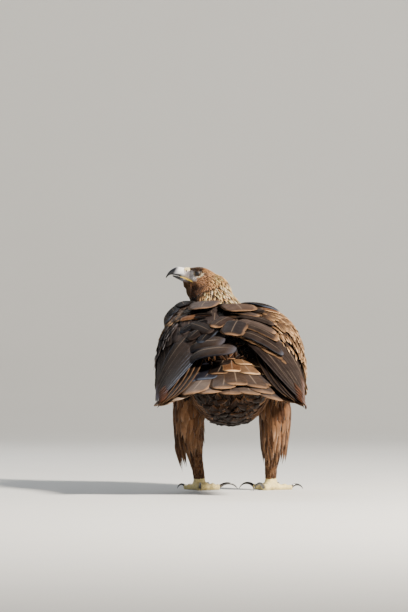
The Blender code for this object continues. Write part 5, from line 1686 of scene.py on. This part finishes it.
def tail_feathers():
    rng = np.random.default_rng(SEED + 41)
    coat = Coat()
    slope = math.sin(math.radians(TAIL_DROOP))
    for x, z, half, height, base, edge, share in TAIL_TIPS:
        reach = min(0.3, (TAIL_ROOT[1] - z - 0.0095 + height - TAIL_ARCH * x * x) / slope)
        root = (min(0.0, reach - 0.2), 0.22 * x)
        verts = lay(tail_surface, LARGE, root, (reach, x), half, height, rounded(0.25, 0.35, 0.84, 2.1),
                    camber=0.1, thick=0.0009, ragged=0.01, rng=rng, sink=0.004, lift=0.001,
                    via=(reach * 0.55, x * 0.66))
        coat.add(verts, LARGE, rng, base, edge, share, rim=0.9, spread=0.04)
    for root, tip, root_step, tip_step, half, height, count, sink, color in (
        (0.0, 0.11, 0.0125, 0.027, 0.023, 0.007, 6, 0.006, (0.03, 0.018, 0.012)),
        (0.01, 0.165, 0.013, 0.03, 0.024, -0.012, 7, -0.003, (0.034, 0.018, 0.011)),
        (0.0, 0.12, 0.013, 0.028, 0.023, -0.015, 7, -0.004, (0.026, 0.014, 0.009)),
        (-0.01, 0.075, 0.013, 0.026, 0.022, -0.018, 6, -0.004, (0.022, 0.012, 0.008)),
    ):
        n = np.arange(count) - (count - 1) / 2
        first = np.stack([root - 0.003 * np.abs(n), root_step * n], 1)
        last = np.stack([tip - 0.006 * np.abs(n), tip_step * n], 1)
        last += rng.normal(0, (0.005, 0.003), (count, 2))
        form = LARGE if height > 0 else MEDIUM
        fall = math.copysign(0.001, height)
        verts = lay(tail_surface, form, first, last, half * rng.uniform(0.9, 1.1, count),
                    height - fall * np.abs(n), rounded(0.4, 0.42, 0.66, 2.0), sink=sink, sunk=0.4,
                    ragged=0.015, rng=rng, tilt=math.copysign(0.05, height) * np.sign(n),
                    camber=math.copysign(0.12, height), thick=0.0006, lift=math.copysign(0.002, height))
        base = np.array(color) * rng.uniform(0.75, 1.25, (count, 1))
        # The upper coverts darken towards the left as painted shade.
        if height > 0:
            base = mix(base, (0.01, 0.009, 0.01), ease(n * tip_step, 0.015, 0.05)[:, None] * 0.85)
        warm = (0.08, 0.046, 0.024) if height > 0 else (0.12, 0.056, 0.024)
        coat.add(verts, form, rng, base, warm, rng.uniform(0.4, 0.9, count), rim=0.8)
    keep(coat.finish("tail_feathers", "vane"), "tail", slot="tail")


# The eyes, the bill and the feet

def eye_parts():
    for side, name in ((1, "left"), (-1, "right")):
        centre = EYE_LINE + (0, EYE_SIDE * side, 0)
        way = facing(side)
        turn = Vector(way).to_track_quat("Z", "Y").to_matrix().to_4x4()
        deselect()
        bpy.ops.mesh.primitive_uv_sphere_add(segments=56, ring_count=40, radius=EYE_RADIUS - 0.0001)
        eye = take(bpy.context.object, f"eye_ball_{name}", "eye")
        for vertex in eye.data.vertices:
            if vertex.co.z > EYE_RADIUS * 0.72:
                vertex.co.z += 0.0006 * (vertex.co.z / EYE_RADIUS - 0.72) / 0.28
        eye.data.transform(Matrix.Translation(centre + SHIFT) @ turn)

        def iris(co):
            d = unit(co - centre)
            angle = np.degrees(np.arccos(np.clip(d @ way, -1, 1)))
            tone = np.tile((0.03, 0.018, 0.012), (len(co), 1))
            tone = mix(tone, (0.06, 0.032, 0.014), ease(angle, 28, 36)[:, None] * 0.8)
            tone = mix(tone, (0.01, 0.007, 0.005), ease(angle, 40, 48)[:, None])
            return mix((0.002, 0.002, 0.002), tone, ease(angle, 24.0, 27.0)[:, None])

        paint_piece(eye, iris)
        keep(eye, f"eye_{name}", slot=f"eye_{name}")

        deselect()
        bpy.ops.mesh.primitive_torus_add(major_segments=56, minor_segments=12,
                                         major_radius=LID_RADIUS + 0.0004, minor_radius=0.0012)
        lid = take(bpy.context.object, f"lid_{name}", "lid")
        lid.data.transform(Matrix.Translation(centre + way * (LID_OUT - 0.0003) + SHIFT) @ turn)
        for vertex in lid.data.vertices:
            high = vertex.co.z - centre[2] - SHIFT[2]
            if high > 0.003:
                vertex.co.z -= (high - 0.003) * 0.62
                vertex.co.y += side * 0.0012

        def skin_of_lid(co):
            high = co[:, 2] - centre[2]
            return mix((0.3, 0.24, 0.15), (0.045, 0.035, 0.03), ease(high, -0.002, 0.005)[:, None])

        paint_piece(lid, skin_of_lid)
        keep(lid, slot="head")


def bill_rings():
    rx, rz, ex, ez, half = columns(BILL)
    at = np.linspace(0, len(rx) - 1, 58)
    at = np.concatenate([at[:-6], np.linspace(at[-6], at[-1], 10)])
    rx, rz, ex, ez, half = (smooth(np.arange(len(BILL)), v, at) for v in (rx, rz, ex, ez, half))
    rings = []
    for x, z, u, w, h in zip(rx, rz, ex, ez, half):
        top, under = np.array([x, 0, z]), np.array([u, 0, w])
        tall = np.linalg.norm(top - under)
        centre = EYE_LINE + under + (top - under) * 0.45
        rings.append(section_ring(centre, Y_AXIS, unit(top - under), h, tall * 0.55, tall * 0.45, 2.15, 44))
    return rings


def bill_tone(co):
    ahead, high, _ = from_eye(co)
    side = np.abs(co[:, 1] - EYE_LINE[1])
    dark = ease(ahead + 0.55 * np.clip(high, 0, 1) + 0.1 * side, 0.05, 0.06)
    # The underside near the hook is painted black as painted shade; the black tip itself is the horn's
    # colour.
    dark = np.maximum(dark, 0.95 * ease(-high, -0.0005, 0.0035) * ease(ahead, 0.036, 0.043))
    pale = (0.9, 0.9, 0.88)
    # Greyer towards the tip, and bluish grey along the lower part as painted shade.
    shade = np.maximum(ease(ahead, 0.04, 0.052), ease(-high, -0.002, 0.006) * 0.8)
    tone = mix(pale, (0.24, 0.25, 0.33), shade[:, None] * 0.7)
    return mix(tone, (0.006, 0.006, 0.008), dark[:, None])


def build_bill():
    verts, quads = tube(bill_rings())
    upper = mesh_object("bill_top", verts, quads, "horn", bill_tone(verts))
    keep(upper, "bill_upper", slot="bill_upper")

    ahead, bottom, half = columns(LOWER_BILL)
    at = np.linspace(ahead[0], ahead[-1], 26)
    tops = mouth_height(at) - MOUTH_GAP
    bottoms, halves = (smooth(ahead, v, at) for v in (bottom, half))
    rings = upright_rings(X_AXIS, Y_AXIS, at, tops, bottoms, halves, 2.3, 36, 0.0)
    verts, quads = tube([ring + EYE_LINE for ring in rings])
    # Black towards the tip: partly the dark horn and partly painted shade under the hook.
    dark = ease(verts[:, 0] - EYE_LINE[0], 0.034, 0.044)[:, None]
    low_tone = mix((0.18, 0.2, 0.26), (0.008, 0.008, 0.01), dark)
    lower = mesh_object("bill_under", verts, quads, "horn", low_tone)
    keep(lower, "bill_lower", slot="bill_lower")

    ahead, ridge, half = columns(CERE)
    at = np.linspace(ahead[0] - 0.001, ahead[-1] + 0.0003, 34)
    lows = mouth_height(at) + MOUTH_GAP
    tops, halves = (smooth(ahead, v, at) for v in (ridge, half))
    puff = 0.0004 * np.sin(np.linspace(0, math.pi, len(at)))
    rings = upright_rings(X_AXIS, Y_AXIS, at, tops + puff, lows, halves + puff, 2.3, 72, 0.0)
    verts, quads = tube([ring + EYE_LINE for ring in rings])
    d = verts - EYE_LINE
    ahead = d[:, 0] - NOSTRIL[0]
    hole = (ahead / NOSTRIL_SIZE[0]) ** 2 + ((d[:, 2] - NOSTRIL[1] - 0.5 * ahead) / NOSTRIL_SIZE[1]) ** 2
    deep = ease(1 - hole, 0.0, 0.6)
    verts[:, 1] -= np.sign(d[:, 1]) * deep * NOSTRIL_DEPTH
    tone = np.tile((0.86, 0.7, 0.33), (len(verts), 1))
    tone = mix(tone, (0.66, 0.58, 0.6), (ease(-d[:, 2], -0.0085, -0.004) * 0.9)[:, None])
    # The nostril's hollow is painted near black: painted shade inside it.
    tone = mix(tone, (0.01, 0.008, 0.006), deep[:, None])
    cere = mesh_object("cere_skin", verts, quads, "wax", tone)
    keep(cere, "cere", slot="cere")

    along, out, thick = columns(GAPE)
    at = np.linspace(along[0], along[-1], 34)
    gape_verts, gape_quads = [], []
    for side in (1, -1):
        for lift in (0.0008, -0.0011):
            rings = []
            for x, y, r in zip(at, smooth(along, out, at), smooth(along, thick, at)):
                centre = EYE_LINE + (x, side * (y - 0.0006), mouth_height(x) + lift * r / 0.0012)
                rings.append(section_ring(centre, Y_AXIS * side, Z_AXIS, r, r * 0.75, r * 0.75, 2.0, 12))
            verts, quads = tube(rings)
            gape_quads.append(quads + sum(len(v) for v in gape_verts))
            gape_verts.append(verts)
    verts = np.concatenate(gape_verts)
    tone = np.tile((0.95, 0.64, 0.07), (len(verts), 1))
    gape = mesh_object("gape", verts, np.concatenate(gape_quads), "wax", tone)
    keep(gape, slot="cere")


def build_feet():
    for side, name in ((1, "left"), (-1, "right")):
        x, y, *_ = leg_columns(THIGH, side)
        centre = np.array([x[-1], y[-1], 0.0])
        ankle = [section_ring(centre + Z_AXIS * high, X_AXIS, Y_AXIS, size, size, size, 2.0, 32)
                 for high, size in ANKLE]
        parts = [ankle, ball_rings(centre + Z_AXIS * PAD_HEIGHT, PAD_SIZE, 0.0, 32, 18)]
        for toe, heading, reach, radius, claw in TOES:
            turn = math.radians(heading + FOOT_TURNS[0 if side > 0 else 1])
            way = np.array([side * math.sin(turn), -math.cos(turn), 0.0])
            across = np.cross(way, Z_AXIS)
            rings = []
            scutes = round(reach / 0.0042)
            for share in np.linspace(0.08, 1.0, 12 * scutes):
                joint = 1 + 0.1 * math.cos(share * 2 * math.pi * round(reach / 0.018))
                size = radius * (1.06 - 0.3 * share) * joint
                size *= mix(0.8, 1.0, float(ease(1 - share, 0.0, 0.06)))
                place = centre + way * reach * share + Z_AXIS * (size - FLAT)
                ring = section_ring(place, across, Z_AXIS, size * 1.02, size, size, 2.1, 28)
                plate = (share * scutes) % 1.0
                up = np.clip((ring[:, 2] - place[2]) / size, 0, 1)
                ring += (ring - place) * (0.07 * (plate - 0.5) * ease(up, 0.2, 0.6))[:, None]
                rings.append(ring)
            parts.append(rings)

            start = centre + way * (reach + 0.0003) + Z_AXIS * (radius * 0.62 + 0.0012)
            base = CLAW_RADIUS * (0.75 + 6.5 * (claw - 0.029))
            steps = 30
            turns = np.radians(np.linspace(CLAW_RISE, CLAW_FALL, steps))
            step = claw / np.cos(turns[:-1]).sum()
            place = start.copy()
            rings = []
            for k, pitch in enumerate(turns):
                ahead = way * math.cos(pitch) + Z_AXIS * math.sin(pitch)
                over = np.cross(across, ahead)
                size = base * (1 - k / (steps - 1)) ** 0.8 + 0.0003
                rings.append(section_ring(place, across, over, size * 0.8, size, size, 2.0, 22))
                place = place + ahead * step
            verts, quads = tube(rings)
            share = np.concatenate([np.repeat(np.linspace(0, 1, steps), 22), [0, 1]])
            verts[:, 2] += max(0.0, 0.0004 - verts[:, 2].min()) * share**2
            tone = mix((0.045, 0.038, 0.034), (0.008, 0.008, 0.009), ease(share, 0.0, 0.3)[:, None])
            talon = mesh_object(f"claw_{name}_{toe}", verts, quads, "claw", tone)
            turned_out(talon)
            keep(talon, f"talon_{name}_{toe}", slot=f"talon_{name}_{toe}")

        made = [mesh_object("foot_part", *tube(rings), "scales") for rings in parts]
        foot = grown_together(made, FOOT_VOXEL, 2)
        for vertex in foot.data.vertices:
            vertex.co.z = max(vertex.co.z, 0.0)
        take(foot, f"foot_skin_{name}", "scales")

        def yellow(co):
            tone = np.tile(YELLOW, (len(co), 1))
            wave = np.sin(co[:, 0] * 310 + 1) * np.sin(co[:, 1] * 270) * np.sin(co[:, 2] * 420 + 2)
            tone = tone * (1 + 0.12 * wave)[:, None]
            # Darker within a centimetre of the floor: painted shade under the toes.
            return mix(tone * 0.75, tone, ease(co[:, 2], 0.002, 0.01)[:, None])

        paint_piece(foot, yellow)
        keep(foot, f"foot_{name}", slot=f"foot_{name}")


grow_face()
grow_hackles()
grow_body()
grow_legs()
for wing in (1, -1):
    wing_feathers(wing)
mantle_feathers()
tail_feathers()
eye_parts()
build_bill()
build_feet()


# The floor, the lights and the camera

FLOOR_FRONT = 14.0
FLOOR_LENGTH = 26.0
FLAT_LENGTH = 18.0
BEND_LENGTH = 3.0
BEND_RADIUS = 1.91
# The lights: name, place, size, power and colour. All aim at the same place.
LIGHTS = (
    ("key", (-2.9, 2.2, 3.0), 0.7, 800.0, (1.0, 0.9, 0.78)),
    ("fill", (3.2, 3.0, 1.6), 2.2, 24.0, (0.8, 0.89, 1.0)),
    ("back", (0.8, -2.6, 2.6), 1.6, 45.0, (0.95, 0.97, 1.0)),
)
LIGHTS_AIM = (0.0, 0.0, 0.32)
SKY = (0.8, 0.87, 1.0, 1)
SKY_STRENGTH = 0.17
CAMERA_AIM = (0.0585, 0.0, 0.414)
CAMERA_DISTANCE = 15.0
CAMERA_RISE = 0.6
CAMERA_LENS = 392.0


def build_stage():
    """A pale floor that sweeps up behind the bird."""
    deselect()
    bpy.ops.mesh.primitive_grid_add(x_subdivisions=2, y_subdivisions=60, size=2)
    sweep = bpy.context.object
    for vertex in sweep.data.vertices:
        run = (1 - vertex.co.y) * FLOOR_LENGTH / 2
        bend = np.clip((run - FLAT_LENGTH) / BEND_LENGTH, 0, 1) * math.pi / 2
        y = FLOOR_FRONT - min(run, FLAT_LENGTH) - BEND_RADIUS * math.sin(bend)
        z = BEND_RADIUS * (1 - math.cos(bend)) + max(run - FLAT_LENGTH - BEND_LENGTH, 0.0)
        vertex.co = (vertex.co.x * FLOOR_FRONT, y, z)
    sweep.name = "floor"
    sweep.data.polygons.foreach_set("use_smooth", [True] * len(sweep.data.polygons))
    material, tree, shader = plain_material("floor_paper")
    uneven = noise_node(tree, 3.0)
    paper = mix_node(tree, uneven, (0.72, 0.73, 0.71), (0.76, 0.77, 0.75))
    tree.links.new(paper, shader.inputs["Base Color"])
    shader.inputs["Roughness"].default_value = 0.9
    sweep.data.materials.append(material)


def build_lights():
    for name, place, size, power, color in LIGHTS:
        data = bpy.data.lights.new(name, "AREA")
        data.shape = "DISK"
        data.size = size
        data.energy = power
        data.color = color
        lamp = bpy.data.objects.new(name, data)
        bpy.context.scene.collection.objects.link(lamp)
        lamp.location = place
        lamp.rotation_euler = (Vector(LIGHTS_AIM) - Vector(place)).to_track_quat("-Z", "Y").to_euler()
    world = bpy.data.worlds.new("studio")
    world.use_nodes = True
    sky = world.node_tree.nodes["Background"].inputs
    sky["Color"].default_value = SKY
    sky["Strength"].default_value = SKY_STRENGTH
    bpy.context.scene.world = world


def build_camera():
    data = bpy.data.cameras.new("camera")
    data.sensor_width = 36.0
    data.lens = CAMERA_LENS
    data.clip_end = 100.0
    camera = bpy.data.objects.new("camera", data)
    bpy.context.scene.collection.objects.link(camera)
    aim = Vector(CAMERA_AIM) + Vector(SHIFT)
    rise = math.radians(CAMERA_RISE)
    camera.location = aim + CAMERA_DISTANCE * Vector((0.0, math.cos(rise), math.sin(rise)))
    camera.rotation_euler = (aim - camera.location).to_track_quat("-Z", "Y").to_euler()
    bpy.context.scene.camera = camera


build_stage()
build_lights()
build_camera()
